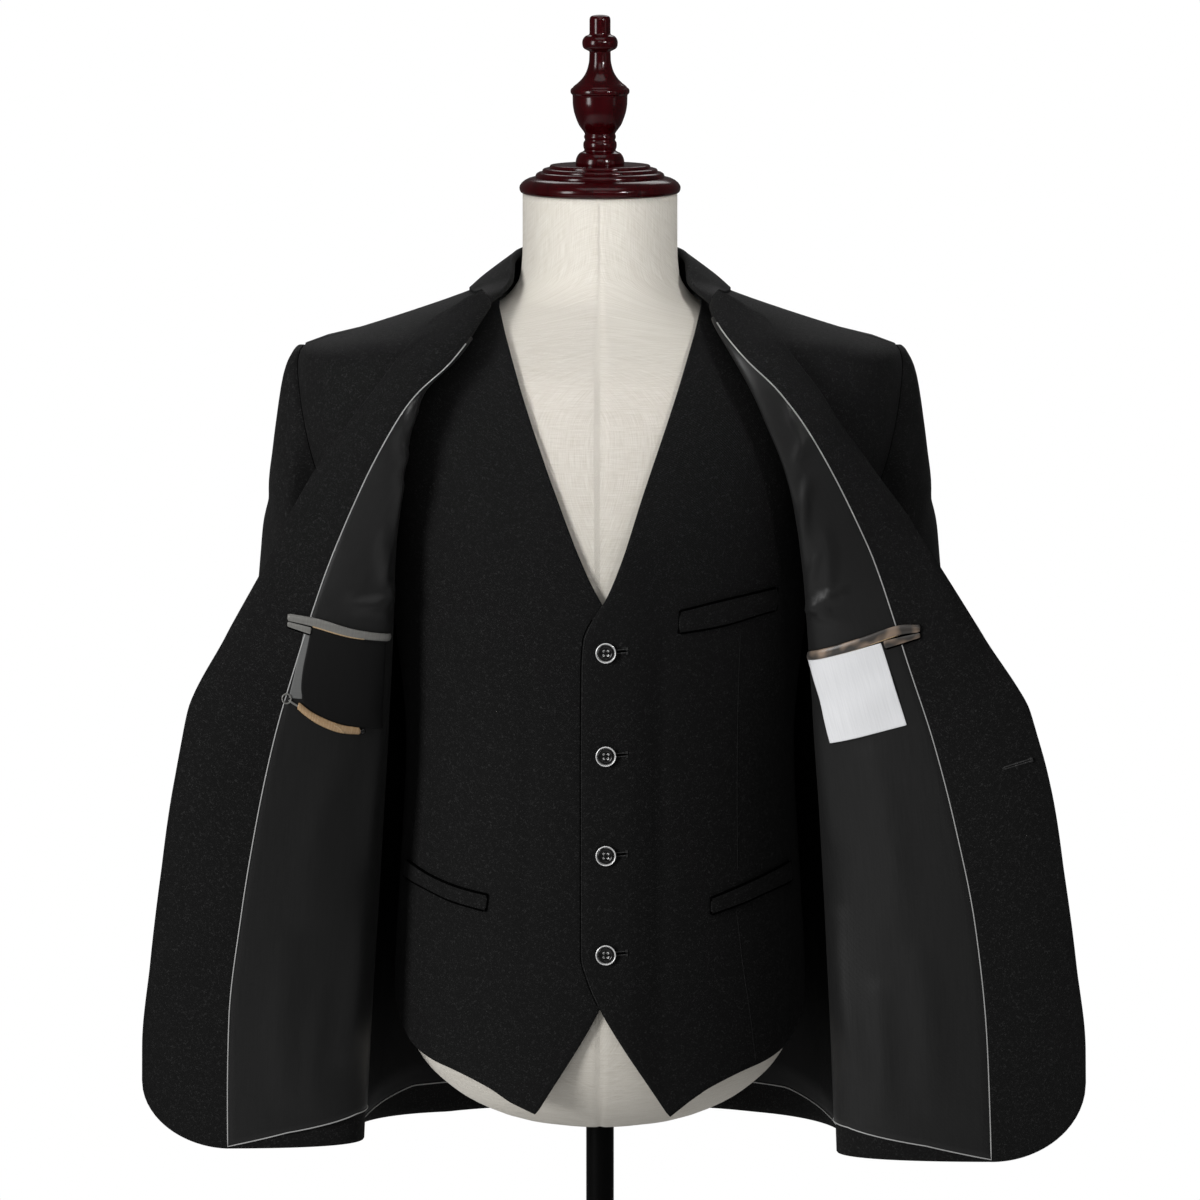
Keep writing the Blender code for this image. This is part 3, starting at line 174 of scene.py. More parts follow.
# A closed wall of cloth: the grid moved out by high, the grid moved out by low, and a round edge between
# them whose section is a half circle: middle + normal * half * cos(a) + outward * half * sin(a).
def clothWall(name, grid, normals, low, high, look, stands=(), ring=False):
    rows, columns = grid.shape[:2]
    index = np.arange(rows * columns).reshape(rows, columns)
    outer, inner = grid + normals * high, grid + normals * low
    middle, half = grid + normals * (high + low) / 2, (high - low) / 2
    uvGrid = gridUV(grid)
    points, uv = [outer.reshape(-1, 3), inner.reshape(-1, 3)], [uvGrid, uvGrid]
    faces = [quads(index, ring), quads(index + rows * columns, ring)[:, ::-1]]
    start = 2 * rows * columns
    if ring:
        loops = [(index[0], grid[0] - grid[1]), (index[-1][::-1], (grid[-1] - grid[-2])[::-1])]
    else:
        edge = np.concatenate([index[0, :-1], index[:-1, -1], index[-1, :0:-1], index[:0:-1, 0]])
        away = np.concatenate([(grid[0] - grid[1])[:-1], (grid[:, -1] - grid[:, -2])[:-1],
                               (grid[-1] - grid[-2])[:0:-1], (grid[:, 0] - grid[:, 1])[:0:-1]])
        loops = [(edge, away)]
    for edge, away in loops:
        core, facing = middle.reshape(-1, 3)[edge], normals.reshape(-1, 3)[edge]
        away = unit(away - facing * np.sum(away * facing, axis=-1, keepdims=True))
        rings = [edge]
        for k in range(1, rimSteps):
            turn = math.pi * k / rimSteps
            points.append(core + facing * half * math.cos(turn) + away * half * math.sin(turn))
            uv.append(uvGrid[edge])
            rings.append(start + np.arange(len(edge)))
            start += len(edge)
        rings.append(edge + rows * columns)
        faces.append(quads(np.stack(rings), True)[:, ::-1])
    points, faces, uv = np.concatenate(points), np.concatenate(faces), np.concatenate(uv)
    if signedVolume(points, faces) < 0:
        faces = faces[:, ::-1]
    return newPiece(name, points, faces, uv, look, stands)


# Prints a wall's cut as cloth, from its grid: its widest row, its longest column and its area.
def cloth(piece, grid, held="hung", rests=("form_cover",), ring=False):
    across = np.linalg.norm(np.diff(grid, axis=1), axis=-1).sum(axis=1)
    if ring:
        across = across + np.linalg.norm(grid[:, 0] - grid[:, -1], axis=-1)
        grid = np.concatenate([grid, grid[:, :1]], axis=1)
    along = np.linalg.norm(np.diff(grid, axis=0), axis=-1).sum(axis=0)
    a, b = grid[1:, 1:] - grid[:-1, :-1], grid[1:, :-1] - grid[:-1, 1:]
    area = float(np.linalg.norm(np.cross(a, b), axis=-1).sum() / 2)
    width, length = round(float(across.max()), 3), round(float(along.max()), 3)
    area = min(round(area, 4), width * length)
    list(rests)
    print(f"  {piece.name}: cut {width} x {length} m, {area:.4f} m2")
    return piece


turning = {"tip": 0.02, "sharpAngle": 55.0}  # an end disc's share of the radius; the bend of a sharp corner


# A solid turned about the Z axis from a profile of radius and height, closed by a small disc at each end.
def turnedPiece(name, profile, steps, look, stands):
    profile = np.asarray(profile, float)
    tips = profile[[0, -1]] * (turning["tip"], 1)
    radius, height = np.concatenate([tips[:1], profile, tips[1:]]).T[..., None]
    angle = np.linspace(0, 2 * math.pi, steps, endpoint=False)
    points = np.stack([radius * np.cos(angle), radius * np.sin(angle), height + 0 * angle], axis=-1)
    points = points.reshape(-1, 3)
    index = np.arange(len(points)).reshape(-1, steps)
    piece = newPiece(name, points, pipeFaces(points, index), None, look, stands)
    piece.data.set_sharp_from_angle(angle=math.radians(turning["sharpAngle"]))


# Soft troughs and ridges on a piece, by two coordinates in metres. Each row of the table is one crease:
# its two ends, its half width, its depth (minus for a trough) and how far its middle bows sideways.
# Height = depth * exp(-(distance / width)^2), faded out past both ends.
def creases(a, b, rows):
    total = np.zeros_like(a)
    for a0, b0, a1, b1, width, depth, bow in rows:
        run = math.hypot(a1 - a0, b1 - b0)
        ua, ub = (a1 - a0) / run, (b1 - b0) / run
        t = ((a - a0) * ua + (b - b0) * ub) / run
        inside = np.clip(t, 0, 1)
        off = -(a - a0) * ub + (b - b0) * ua - bow * 4 * inside * (1 - inside)
        beyond = (t - inside) * run
        fade = np.sin(math.pi * np.clip(0.12 + 0.76 * inside, 0, 1)) ** 0.8
        total += depth * fade * np.exp(-(off / width) ** 2 - (beyond / width) ** 2)
    return total


# The cut: the garment's own sizes and sections, in metres and degrees.
sizes = {
    "cloth": 0.002, "lining": 0.0012, "waistcoat": 0.0018,  # thicknesses
    "waistcoatEase": 0.0048,  # from the form to the middle of the waistcoat's cloth
    "buttonLap": 0.0038,  # how far the buttoning front stands out over the other
    "pieceGap": 0.0001,  # between the jacket's layers
    "sideSeam": 105.0, "shoulderZ": 1.4362, "armpitZ": 1.265, "neckZ": 1.489, "gorgeZ": 1.4735,
    "hemBackZ": 0.787,
    "fine": 0.006,  # spacing of the rows and columns of the cloth
}

formSections = table("z wide front back", [
    (1.5571, 0.0614, 0.059, 0.059), (1.515, 0.0615, 0.06, 0.06), (1.493, 0.0632, 0.061, 0.0625),
    (1.478, 0.0722, 0.065, 0.07), (1.465, 0.092, 0.072, 0.08), (1.448, 0.13, 0.08, 0.09),
    (1.43, 0.164, 0.089, 0.098), (1.412, 0.182, 0.096, 0.104), (1.385, 0.188, 0.104, 0.109),
    (1.34, 0.183, 0.113, 0.114), (1.29, 0.172, 0.118, 0.114), (1.22, 0.159, 0.115, 0.107),
    (1.12, 0.15, 0.106, 0.097), (1.0, 0.156, 0.109, 0.105), (0.92, 0.16, 0.112, 0.112),
    (0.89, 0.157, 0.11, 0.11), (0.862, 0.144, 0.102, 0.102), (0.836, 0.118, 0.084, 0.084),
    (0.817, 0.082, 0.058, 0.058), (0.8085, 0.046, 0.033, 0.033), (0.8066, 0.018, 0.015, 0.015),
])
jacketSections = table("z wide front back power", [
    (1.489, 0.079, 0.06, 0.072, 2.2), (1.485, 0.0885, 0.0645, 0.0765, 2.2),
    (1.479, 0.1035, 0.0715, 0.084, 2.2), (1.472, 0.121, 0.078, 0.091, 2.3),
    (1.462, 0.1503, 0.085, 0.1, 2.4), (1.4522, 0.1798, 0.093, 0.108, 2.5),
    (1.443, 0.2102, 0.1005, 0.115, 2.6), (1.438, 0.2302, 0.104, 0.1175, 2.6),
    (1.4362, 0.235, 0.1052, 0.1182, 2.6), (1.429, 0.239, 0.1085, 0.1205, 2.7),
    (1.413, 0.2405, 0.114, 0.125, 2.7), (1.39, 0.24, 0.119, 0.129, 2.6), (1.37, 0.238, 0.122, 0.131, 2.6),
    (1.34, 0.231, 0.125, 0.132, 2.5), (1.3, 0.214, 0.127, 0.131, 2.4), (1.265, 0.198, 0.127, 0.129, 2.4),
    (1.2, 0.189, 0.124, 0.124, 2.3), (1.12, 0.184, 0.12, 0.118, 2.3), (1.0, 0.188, 0.122, 0.127, 2.3),
    (0.9, 0.194, 0.126, 0.139, 2.3), (0.78, 0.2, 0.13, 0.15, 2.3),
])
# Each open front: from the middle to its fold, to the piping and to its front edge; the edge's y; and the
# cloth's turn there, in degrees.
openFront = {
    right: table("z fold piping edge edgeY turn", [
        (1.492, 0.076, 0.0765, 0.1, -0.048, 45), (1.4735, 0.0862, 0.0872, 0.118, -0.06, 42),
        (1.464, 0.0895, 0.091, 0.13, -0.07, 40), (1.44, 0.104, 0.11, 0.147, -0.1, 30),
        (1.41, 0.121, 0.1405, 0.1705, -0.105, 30), (1.37, 0.138, 0.1685, 0.1965, -0.1, 32),
        (1.33, 0.152, 0.1896, 0.2278, -0.093, 24), (1.285, 0.159, 0.211, 0.2575, -0.087, 18),
        (1.24, 0.164, 0.2275, 0.2853, -0.09, 14), (1.18, 0.1685, 0.247, 0.3238, -0.096, 10),
        (1.148, 0.171, 0.258, 0.3415, -0.099, 8), (1.12, 0.173, 0.2665, 0.35, -0.1, 8),
        (1.04, 0.1785, 0.286, 0.3642, -0.098, 8), (0.96, 0.183, 0.3005, 0.3758, -0.094, 8),
        (0.88, 0.187, 0.3077, 0.3852, -0.09, 6), (0.78, 0.191, 0.3118, 0.3862, -0.086, 4),
    ]),
    left: table("z fold piping edge edgeY turn", [
        (1.492, 0.076, 0.0765, 0.1, -0.048, 45), (1.4735, 0.0862, 0.0868, 0.118, -0.06, 42),
        (1.464, 0.093, 0.094, 0.13, -0.07, 40), (1.44, 0.11, 0.112, 0.153, -0.1, 30),
        (1.41, 0.139, 0.1435, 0.176, -0.105, 30), (1.37, 0.1515, 0.169, 0.207, -0.1, 32),
        (1.33, 0.157, 0.1885, 0.2333, -0.093, 24), (1.285, 0.162, 0.2078, 0.2555, -0.087, 18),
        (1.24, 0.164, 0.2245, 0.2797, -0.09, 14), (1.18, 0.1672, 0.2435, 0.3135, -0.096, 10),
        (1.148, 0.1692, 0.253, 0.3266, -0.099, 8), (1.12, 0.171, 0.2603, 0.332, -0.1, 8),
        (1.04, 0.1757, 0.276, 0.3445, -0.098, 8), (0.96, 0.181, 0.288, 0.355, -0.094, 8),
        (0.88, 0.186, 0.2955, 0.3632, -0.09, 6), (0.78, 0.191, 0.296, 0.3638, -0.086, 4),
    ]),
}
# Each front's hem: its height, and its round corner's width and height.
frontHem = {right: (0.794, 0.075, 0.064), left: (0.805, 0.07, 0.055)}
foldShape = table("z runOn straight", [
    (1.492, 0.01, 0.012), (1.464, 0.016, 0.028), (1.44, 0.022, 0.03), (1.37, 0.03, 0.034),
    (1.285, 0.032, 0.05), (1.18, 0.038, 0.075), (1.04, 0.044, 0.09), (0.78, 0.05, 0.1),
])
armhole = table("z front back", [
    (1.265, 0.008, 0.008), (1.272, -0.019, 0.035), (1.29, -0.037, 0.056), (1.32, -0.045, 0.0695),
    (1.36, -0.0475, 0.0745), (1.4, -0.037, 0.07), (1.424, -0.0235, 0.056), (1.433, -0.0125, 0.032),
    (1.4362, 0.0, 0.0),
])
lapelTop = table("share z", [(0.0, 1.4735), (0.3, 1.4788), (0.55, 1.4836), (0.75, 1.4795), (1.0, 1.4665)])
hemLevels = [0.0, 0.036, 0.11, 0.2, 0.28, 0.35, 0.415]
upperZ = [*armhole["z"], 1.448, 1.462, 1.477, sizes["neckZ"]]
panelLevels = np.array(hemLevels + [z - sizes["hemBackZ"] for z in upperZ])  # over the back's hem
seamHalf = math.degrees(0.0002 / 0.12)  # half of a side seam's gap, as an angle


# Normals turned to the side that a guide points to.
def turnedTo(normals, guide):
    return normals * np.sign(np.sum(normals * guide, axis=-1, keepdims=True) + 1e-9)


# A point of the body's section at height z: x = wide * sin(a) * r and y = -depth * cos(a) * r, where r
# makes an ellipse squarer: r = (|sin a|^power + |cos a|^power)^(-1 / power).
def sectionPoint(sections, angle, z):
    angle, z = np.broadcast_arrays(np.radians(angle), np.asarray(z, float))
    depth = np.where(np.cos(angle) > 0, curveAt(sections, "front", z), curveAt(sections, "back", z))
    fuller = 1.0
    if "power" in sections:
        power = curveAt(sections, "power", z)
        fuller = (np.abs(np.sin(angle)) ** power + np.abs(np.cos(angle)) ** power) ** (-1 / power)
    x = curveAt(sections, "wide", z) * np.sin(angle) * fuller
    return np.stack([x, -depth * np.cos(angle) * fuller, z], axis=-1)


def sectionNormal(sections, angle, z):
    across = sectionPoint(sections, angle + 0.5, z) - sectionPoint(sections, angle - 0.5, z)
    up = sectionPoint(sections, angle, z + 0.001) - sectionPoint(sections, angle, z - 0.001)
    return turnedTo(unit(np.cross(across, up)), sectionPoint(sections, angle, z) * (1, 1, 0))


# The angle at which the section at height z reaches a value of x or y, found by halving.
def angleWhere(sections, axis, value, z, low, high):
    value, z = np.broadcast_arrays(np.asarray(value, float), np.asarray(z, float))
    low, high = np.full(z.shape, float(low)), np.full(z.shape, float(high))
    for _ in range(30):
        middle = (low + high) / 2
        short = sectionPoint(sections, middle, z)[..., axis] < value
        low, high = np.where(short, middle, low), np.where(short, high, middle)
    return (low + high) / 2


def armholeAngle(panel, z):
    return angleWhere(jacketSections, 1, curveAt(armhole, panel, z), z, 0.0, 180.0)


# The open front in plan at height z, where it leaves the body, goes round its fold and out to its edge: the
# four points of a cubic Bezier curve.
def frontPlan(side, z, leaveX=None):
    front = openFront[side]
    if leaveX is None:
        leaveX = curveAt(front, "leave", z)
    angle = angleWhere(jacketSections, 0, leaveX, z, 0.0, 88.0)
    leave = sectionPoint(jacketSections, angle, z)[..., :2]
    inward = unit(sectionPoint(jacketSections, angle - 1.0, z)[..., :2] - leave)
    turn = np.radians(curveAt(front, "turn", z))
    outward = np.stack([np.cos(turn), np.sin(turn)], axis=-1)
    edge = np.stack([curveAt(front, "edge", z), curveAt(front, "edgeY", z)], axis=-1)
    runOn, straight = curveAt(foldShape, "runOn", z)[..., None], curveAt(foldShape, "straight", z)[..., None]
    return leave, leave + inward * runOn, edge - outward * straight, edge


def bezier(a, b, c, d, t):
    t = np.asarray(t, float)[..., None]
    return (1 - t) ** 3 * a + 3 * t * (1 - t) ** 2 * b + 3 * t * t * (1 - t) * c + t ** 3 * d


# Where the cloth leaves the body, so that its fold comes in as far as the table says.
for side in (right, left):
    front = openFront[side]
    leaveX = front["fold"] + 0.004
    along = np.linspace(0, 1, 101)[:, None] * np.ones(len(front["z"]))
    for _ in range(12):
        reach = bezier(*frontPlan(side, front["z"], leaveX), along)[..., 0]
        leaveX = leaveX + front["fold"] - reach.min(axis=0)
    front["leave"] = leaveX


def frontPoint(side, t, z):
    t, z = np.broadcast_arrays(np.asarray(t, float), np.asarray(z, float))
    plan = bezier(*frontPlan(side, z), t)
    return np.stack([side * plan[..., 0], plan[..., 1], z], axis=-1)


# Points of the open front at places x, z, and its normals there, to the outside of the cloth.
def onFront(side, x, z):
    t = frontShare(side, x, z)
    low, high = np.clip(t - 0.004, 0, 1), np.clip(t + 0.004, 0, 1)
    across = frontPoint(side, high, z) - frontPoint(side, low, z)
    up = frontPoint(side, t, z + 0.002) - frontPoint(side, t, z - 0.002)
    return frontPoint(side, t, z), unit(np.cross(up, across)) * side


planSteps = 200  # the steps in which the plan's curve is searched


# The share of the curve at which the open front is x from the middle, past its fold: the last of its steps
# whose point lies short of x, and the part of the next step that is left.
def frontShare(side, x, z):
    x, z = np.broadcast_arrays(np.asarray(x, float), np.asarray(z, float))
    steps = np.linspace(0.0, 1.0, planSteps + 1)
    reach = bezier(*frontPlan(side, z.ravel()), steps[:, None])[..., 0]
    first = np.argmin(reach, axis=0)
    short = (reach < x.ravel()) & (np.arange(planSteps + 1)[:, None] >= first)
    low = np.clip(first + short.sum(axis=0) - 1, first, planSteps - 1)
    each = np.arange(len(first))
    part = (x.ravel() - reach[low, each]) / np.maximum(reach[low + 1, each] - reach[low, each], 1e-9)
    return (steps[low] + np.clip(part, 0, 1) / planSteps).reshape(x.shape)


def sideHem(side):
    return (frontHem[side][0] + sizes["hemBackZ"]) / 2


def rowHeights(hem, top):
    return hem + (top - hem) * panelLevels / panelLevels[-1]


def seamAngle(panel, z):
    above = np.where(z < sizes["shoulderZ"], armholeAngle(panel, z), 90.0)
    seam = np.where(z < sizes["armpitZ"], sizes["sideSeam"], above)
    return seam + (-seamHalf if panel == "front" else seamHalf)


def bodyColumn(side, share):
    hem = sideHem(side) + (frontHem[side][0] - sideHem(side)) * share
    z = rowHeights(hem, sizes["neckZ"] + (sizes["gorgeZ"] - sizes["neckZ"]) * share ** 1.2)
    seam = seamAngle("front", z)
    leaving = angleWhere(jacketSections, 0, curveAt(openFront[side], "leave", z), z, 0.0, 88.0)
    return sectionPoint(jacketSections, seam + (leaving - seam) * share, z) * (side, 1, 1)


def flapColumn(side, z, share):
    piping = frontShare(side, curveAt(openFront[side], "piping", z), z)
    return frontPoint(side, np.where(share <= 1, piping * share, piping + (1 - piping) * (share - 1)), z)


def hemHeight(side, x):
    base, width, height = frontHem[side]
    into = np.clip((x - (openFront[side]["edge"][0] - width)) / width, 0.0, 1.0)
    return base + height * (1 - np.sqrt(np.maximum(1 - into ** 2, 0)))


# A front's columns: shares of its body part, of its fold to the piping, and of the facing to the edge.
frontColumns = {
    "body": np.linspace(0, 1, 26),
    "fold": np.linspace(0, 1, 29)[1:],
    "facing": np.array([0.04, 0.09, *np.linspace(0.15, 0.9, 16), 0.94, 0.97, 0.99, 1.0]),
}
pipingColumn = len(frontColumns["body"]) + len(frontColumns["fold"]) - 1
fineLevels = finer(panelLevels, sizes["fine"])


def frontGrid(side):
    columns = [bodyColumn(side, share) for share in frontColumns["body"]]
    hem = frontHem[side][0]
    columns += [flapColumn(side, rowHeights(hem, sizes["gorgeZ"]), share) for share in frontColumns["fold"]]
    pipingX, edgeX = curveAt(openFront[side], "piping", hem), openFront[side]["edge"][0]
    for share in frontColumns["facing"]:
        foot, top = hemHeight(side, pipingX + (edgeX - pipingX) * share), float(curveAt(lapelTop, "z", share))
        columns.append(flapColumn(side, rowHeights(foot, top), 1 + share))
    return smoothThrough(panelLevels, np.stack(columns, axis=1), fineLevels)


# Rows of a grid moved so that each column starts higher up and ends lower down, as a lining stops above the
# hem and short of the gorge.
def trimmed(grid, lift, drop=None):
    rows, columns = grid.shape[:2]
    z = grid[..., 2]
    drop = np.zeros(columns) if drop is None else drop
    start = np.array([np.interp(z[0, c] + lift[c], z[:, c], np.arange(rows)) for c in range(columns)])
    end = np.array([np.interp(z[-1, c] - drop[c], z[:, c], np.arange(rows)) for c in range(columns)])
    place = start + (end - start) * np.linspace(0, 1, rows)[:, None]
    low = np.clip(place.astype(int), 0, rows - 2)
    share = (place - low)[..., None]
    below = np.take_along_axis(grid, low[..., None], axis=0)
    above = np.take_along_axis(grid, low[..., None] + 1, axis=0)
    return below * (1 - share) + above * share


def newGroup(name, inputs, outputs):
    group = bpy.data.node_groups.new(name, "ShaderNodeTree")
    for label, kind, value in inputs:
        socket = group.interface.new_socket(label, in_out="INPUT", socket_type=kind)
        socket.default_value = value
    for label, kind in outputs:
        group.interface.new_socket(label, in_out="OUTPUT", socket_type=kind)
    return group, group.nodes.new("NodeGroupInput"), group.nodes.new("NodeGroupOutput")


def node(tree, kind, links=(), **settings):
    made = tree.nodes.new(kind)
    for key, value in settings.items():
        setattr(made, key, value)
    for socket, source in links:
        if isinstance(source, bpy.types.NodeSocket):
            tree.links.new(source, made.inputs[socket])
        else:
            made.inputs[socket].default_value = source
    return made


def maths(tree, operation, *values):
    return node(tree, "ShaderNodeMath", enumerate(values), operation=operation).outputs[0]


def clothPlace(tree):
    return node(tree, "ShaderNodeUVMap", uv_map="cloth").outputs["UV"]


def objectPlace(tree):
    return node(tree, "ShaderNodeTexCoord").outputs["Object"]


def noise(tree, place, scale, detail, stretch=None, **sockets):
    if stretch:
        place = node(tree, "ShaderNodeMapping", [("Vector", place), ("Scale", stretch)]).outputs[0]
    links = [("Vector", place), ("Scale", scale), ("Detail", detail), *sockets.items()]
    return node(tree, "ShaderNodeTexNoise", links).outputs["Fac"]


def ramp(tree, source, *stops):
    made = node(tree, "ShaderNodeValToRGB", [("Fac", source)])
    for element, (position, value) in zip(made.color_ramp.elements, stops):
        element.position, element.color = position, (value, value, value, 1)
    return made.outputs["Color"]


# Woven threads on a cloth's own UV map: two sets of fine ridges that cross, and a slow unevenness.
def weaveGroup():
    group, given, out = newGroup("woven threads", [
        ("Threads", "NodeSocketFloat", 1200.0), ("Twill", "NodeSocketFloat", 1.0),
        ("Slub", "NodeSocketFloat", 0.3),
    ], [("Height", "NodeSocketFloat"), ("Mottle", "NodeSocketFloat")])
    place = clothPlace(group)
    parts = node(group, "ShaderNodeSeparateXYZ", [(0, place)])
    twist = noise(group, place, 220.0, 2.0)
    swing = maths(group, "MULTIPLY", twist, maths(group, "MULTIPLY", given.outputs["Slub"], 6.0))
    u = maths(group, "MULTIPLY", parts.outputs["X"], given.outputs["Threads"])
    v = maths(group, "MULTIPLY", parts.outputs["Y"], given.outputs["Threads"])
    slant = maths(group, "MULTIPLY", maths(group, "ADD", u, v), given.outputs["Twill"])
    warp = maths(group, "SINE", maths(group, "ADD", maths(group, "MULTIPLY", u, 2.0), swing))
    rib = maths(group, "SINE", maths(group, "ADD", slant, swing))
    height = maths(group, "ADD", maths(group, "MULTIPLY", warp, 0.25), maths(group, "MULTIPLY", rib, 0.25))
    group.links.new(maths(group, "ADD", height, 0.5), out.inputs["Height"])
    group.links.new(noise(group, place, 500.0, 1.0, Roughness=0.6, Distortion=2.0), out.inputs["Mottle"])
    return group


weave = weaveGroup()


def placed(tree, group, **values):
    made = tree.nodes.new("ShaderNodeGroup")
    made.node_tree = group
    for key, value in values.items():
        made.inputs[key].default_value = value
    return made


def newMaterial(name, roughness, **sockets):
    made = bpy.data.materials.new(name)
    made.use_nodes = True
    shader = made.node_tree.nodes["Principled BSDF"]
    shader.inputs["Roughness"].default_value = roughness
    for key, value in sockets.items():
        shader.inputs[key.replace("_", " ")].default_value = value
    return made, made.node_tree, shader


def mixColours(tree, factor, first, second):
    made = node(tree, "ShaderNodeMix", data_type="RGBA")
    tree.links.new(factor, [s for s in made.inputs if s.name == "Factor" and s.type == "VALUE"][0])
    for socket in made.inputs:  # the colour sockets share their names with the number ones
        if socket.type == "RGBA":
            socket.default_value = (*(first if socket.name == "A" else second), 1)
    return [s for s in made.outputs if s.type == "RGBA"][0]


def coloured(tree, shader, factor, first, second):
    tree.links.new(mixColours(tree, factor, first, second), shader.inputs["Base Color"])


def bumped(tree, shader, height, distance):
    bump = node(tree, "ShaderNodeBump", [("Height", height), ("Distance", distance), ("Strength", 1.0)])
    tree.links.new(bump.outputs["Normal"], shader.inputs["Normal"])


# Worsted wool: near black, with short fibres that catch the light.
woolLook = {"dark": 0.0058, "light": 0.0232, "flecks": (0.57, 0.7), "threads": 5200.0, "nap": 0.0001}


def woolMaterial(name="worsted wool", lift=1.0, gloss=1.0):
    made, tree, shader = newMaterial(name, 0.78, Sheen_Weight=0.03 * gloss, Sheen_Roughness=0.5,
                                     Specular_IOR_Level=0.07 * gloss)
    shader.inputs["Sheen Tint"].default_value = (0.55, 0.55, 0.56, 1)
    cloth = placed(tree, weave, Threads=woolLook["threads"], Twill=0.7, Slub=0.35)
    low, high = woolLook["flecks"]
    flecks = ramp(tree, cloth.outputs["Mottle"], (low, 0.0), (high, 1.0))
    coloured(tree, shader, flecks, [woolLook["dark"] * lift] * 3, [woolLook["light"] * lift] * 3)
    nap = maths(tree, "MULTIPLY", cloth.outputs["Mottle"], 0.9)
    bumped(tree, shader, maths(tree, "ADD", cloth.outputs["Height"], nap), woolLook["nap"])
    return made


# Satin: a smooth face whose gloss runs in faint lines along the threads.
satinLook = {
    "threads": 6500.0, "relief": 0.00003, "streaks": (900.0, 30.0, 1.0), "unevenGloss": 0.14,
    "patchScale": 70.0,
}


def satinMaterial(name, dark, light, roughness, sheen=0.05, gloss=0.42, patches=False):
    made, tree, shader = newMaterial(name, roughness, Sheen_Weight=sheen, Sheen_Roughness=0.4,
                                     Anisotropic=0.35, Specular_IOR_Level=gloss)
    cloth = placed(tree, weave, Threads=satinLook["threads"], Twill=0.2, Slub=0.15)
    place = clothPlace(tree)
    streak = noise(tree, place, 1.0, 3.0, satinLook["streaks"])
    shade = streak
    if patches:  # a tape that shines in some stretches and not in others
        shade = ramp(tree, noise(tree, place, satinLook["patchScale"], 1.0), (0.45, 0.0), (0.66, 1.0))
    coloured(tree, shader, shade, dark, light)
    uneven = maths(tree, "MULTIPLY", streak, satinLook["unevenGloss"])
    tree.links.new(maths(tree, "ADD", uneven, roughness - 0.07), shader.inputs["Roughness"])
    bumped(tree, shader, cloth.outputs["Height"], satinLook["relief"])
    return made


# Natural linen: an even plain weave with single thick threads here and there, across and along.
linenLook = {
    "warm": (0.53, 0.49, 0.42), "pale": (0.68, 0.65, 0.59), "threads": 6300.0,
    "slubs": ((60.0, 1500.0, 1.0), (1500.0, 60.0, 1.0)), "relief": 0.00012,
}


def linenMaterial():
    made, tree, shader = newMaterial("natural linen", 0.92, Sheen_Weight=0.1, Specular_IOR_Level=0.2)
    cloth = placed(tree, weave, Threads=linenLook["threads"], Twill=0.0, Slub=0.9)
    place = clothPlace(tree)
    lines = [noise(tree, place, 1.0, 2.0, stretch) for stretch in linenLook["slubs"]]
    threads = maths(tree, "MULTIPLY", maths(tree, "ADD", *lines), 0.5)
    shade = ramp(tree, threads, (0.3, 0.0), (0.62, 1.0))
    coloured(tree, shader, shade, linenLook["warm"], linenLook["pale"])
    height = maths(tree, "ADD", cloth.outputs["Height"], maths(tree, "MULTIPLY", threads, 2.0))
    bumped(tree, shader, height, linenLook["relief"])
    return made


# Lacquered mahogany: dark red, its grain running up the turning, under a clear coat.
woodLook = {"deep": (0.011, 0.0001, 0.0004), "red": (0.03, 0.0001, 0.0012), "grain": (38.0, 38.0, 4.0)}


def mahoganyMaterial():
    made, tree, shader = newMaterial("lacquered mahogany", 0.45, Coat_Weight=0.45, Coat_Roughness=0.17,
                                     Specular_IOR_Level=0.0)
    rings = noise(tree, objectPlace(tree), 2.2, 6.0, woodLook["grain"], Roughness=0.62, Distortion=0.6)
    coloured(tree, shader, ramp(tree, rings, (0.25, 0.0), (0.75, 1.0)), woodLook["deep"], woodLook["red"])
    return made


def metalMaterial():
    made, tree, shader = newMaterial("black painted steel", 0.34, Specular_IOR_Level=0.05)
    skin = noise(tree, objectPlace(tree), 900.0, 2.0)
    coloured(tree, shader, skin, (0.0008, 0.0008, 0.0008), (0.002, 0.002, 0.002))
    bumped(tree, shader, skin, 0.00003)
    return made


# Horn or silvered buttons: cloudy, with a fine turned grain.
def hornMaterial(name, dark, light, roughness, metallic=0.0):
    coat, gloss = (0.0, 0.5) if metallic else (0.12, 0.2)
    made, tree, shader = newMaterial(name, roughness, Metallic=metallic, Coat_Weight=coat,
                                     Specular_IOR_Level=gloss)
    cloud = noise(tree, objectPlace(tree), 420.0, 4.0, Distortion=1.2)
    coloured(tree, shader, ramp(tree, cloud, (0.35, 0.0), (0.7, 1.0)), dark, light)
    bumped(tree, shader, cloud, 0.00004)
    return made


def grey(value, blue=0.0):
    return (value, value, value + blue)


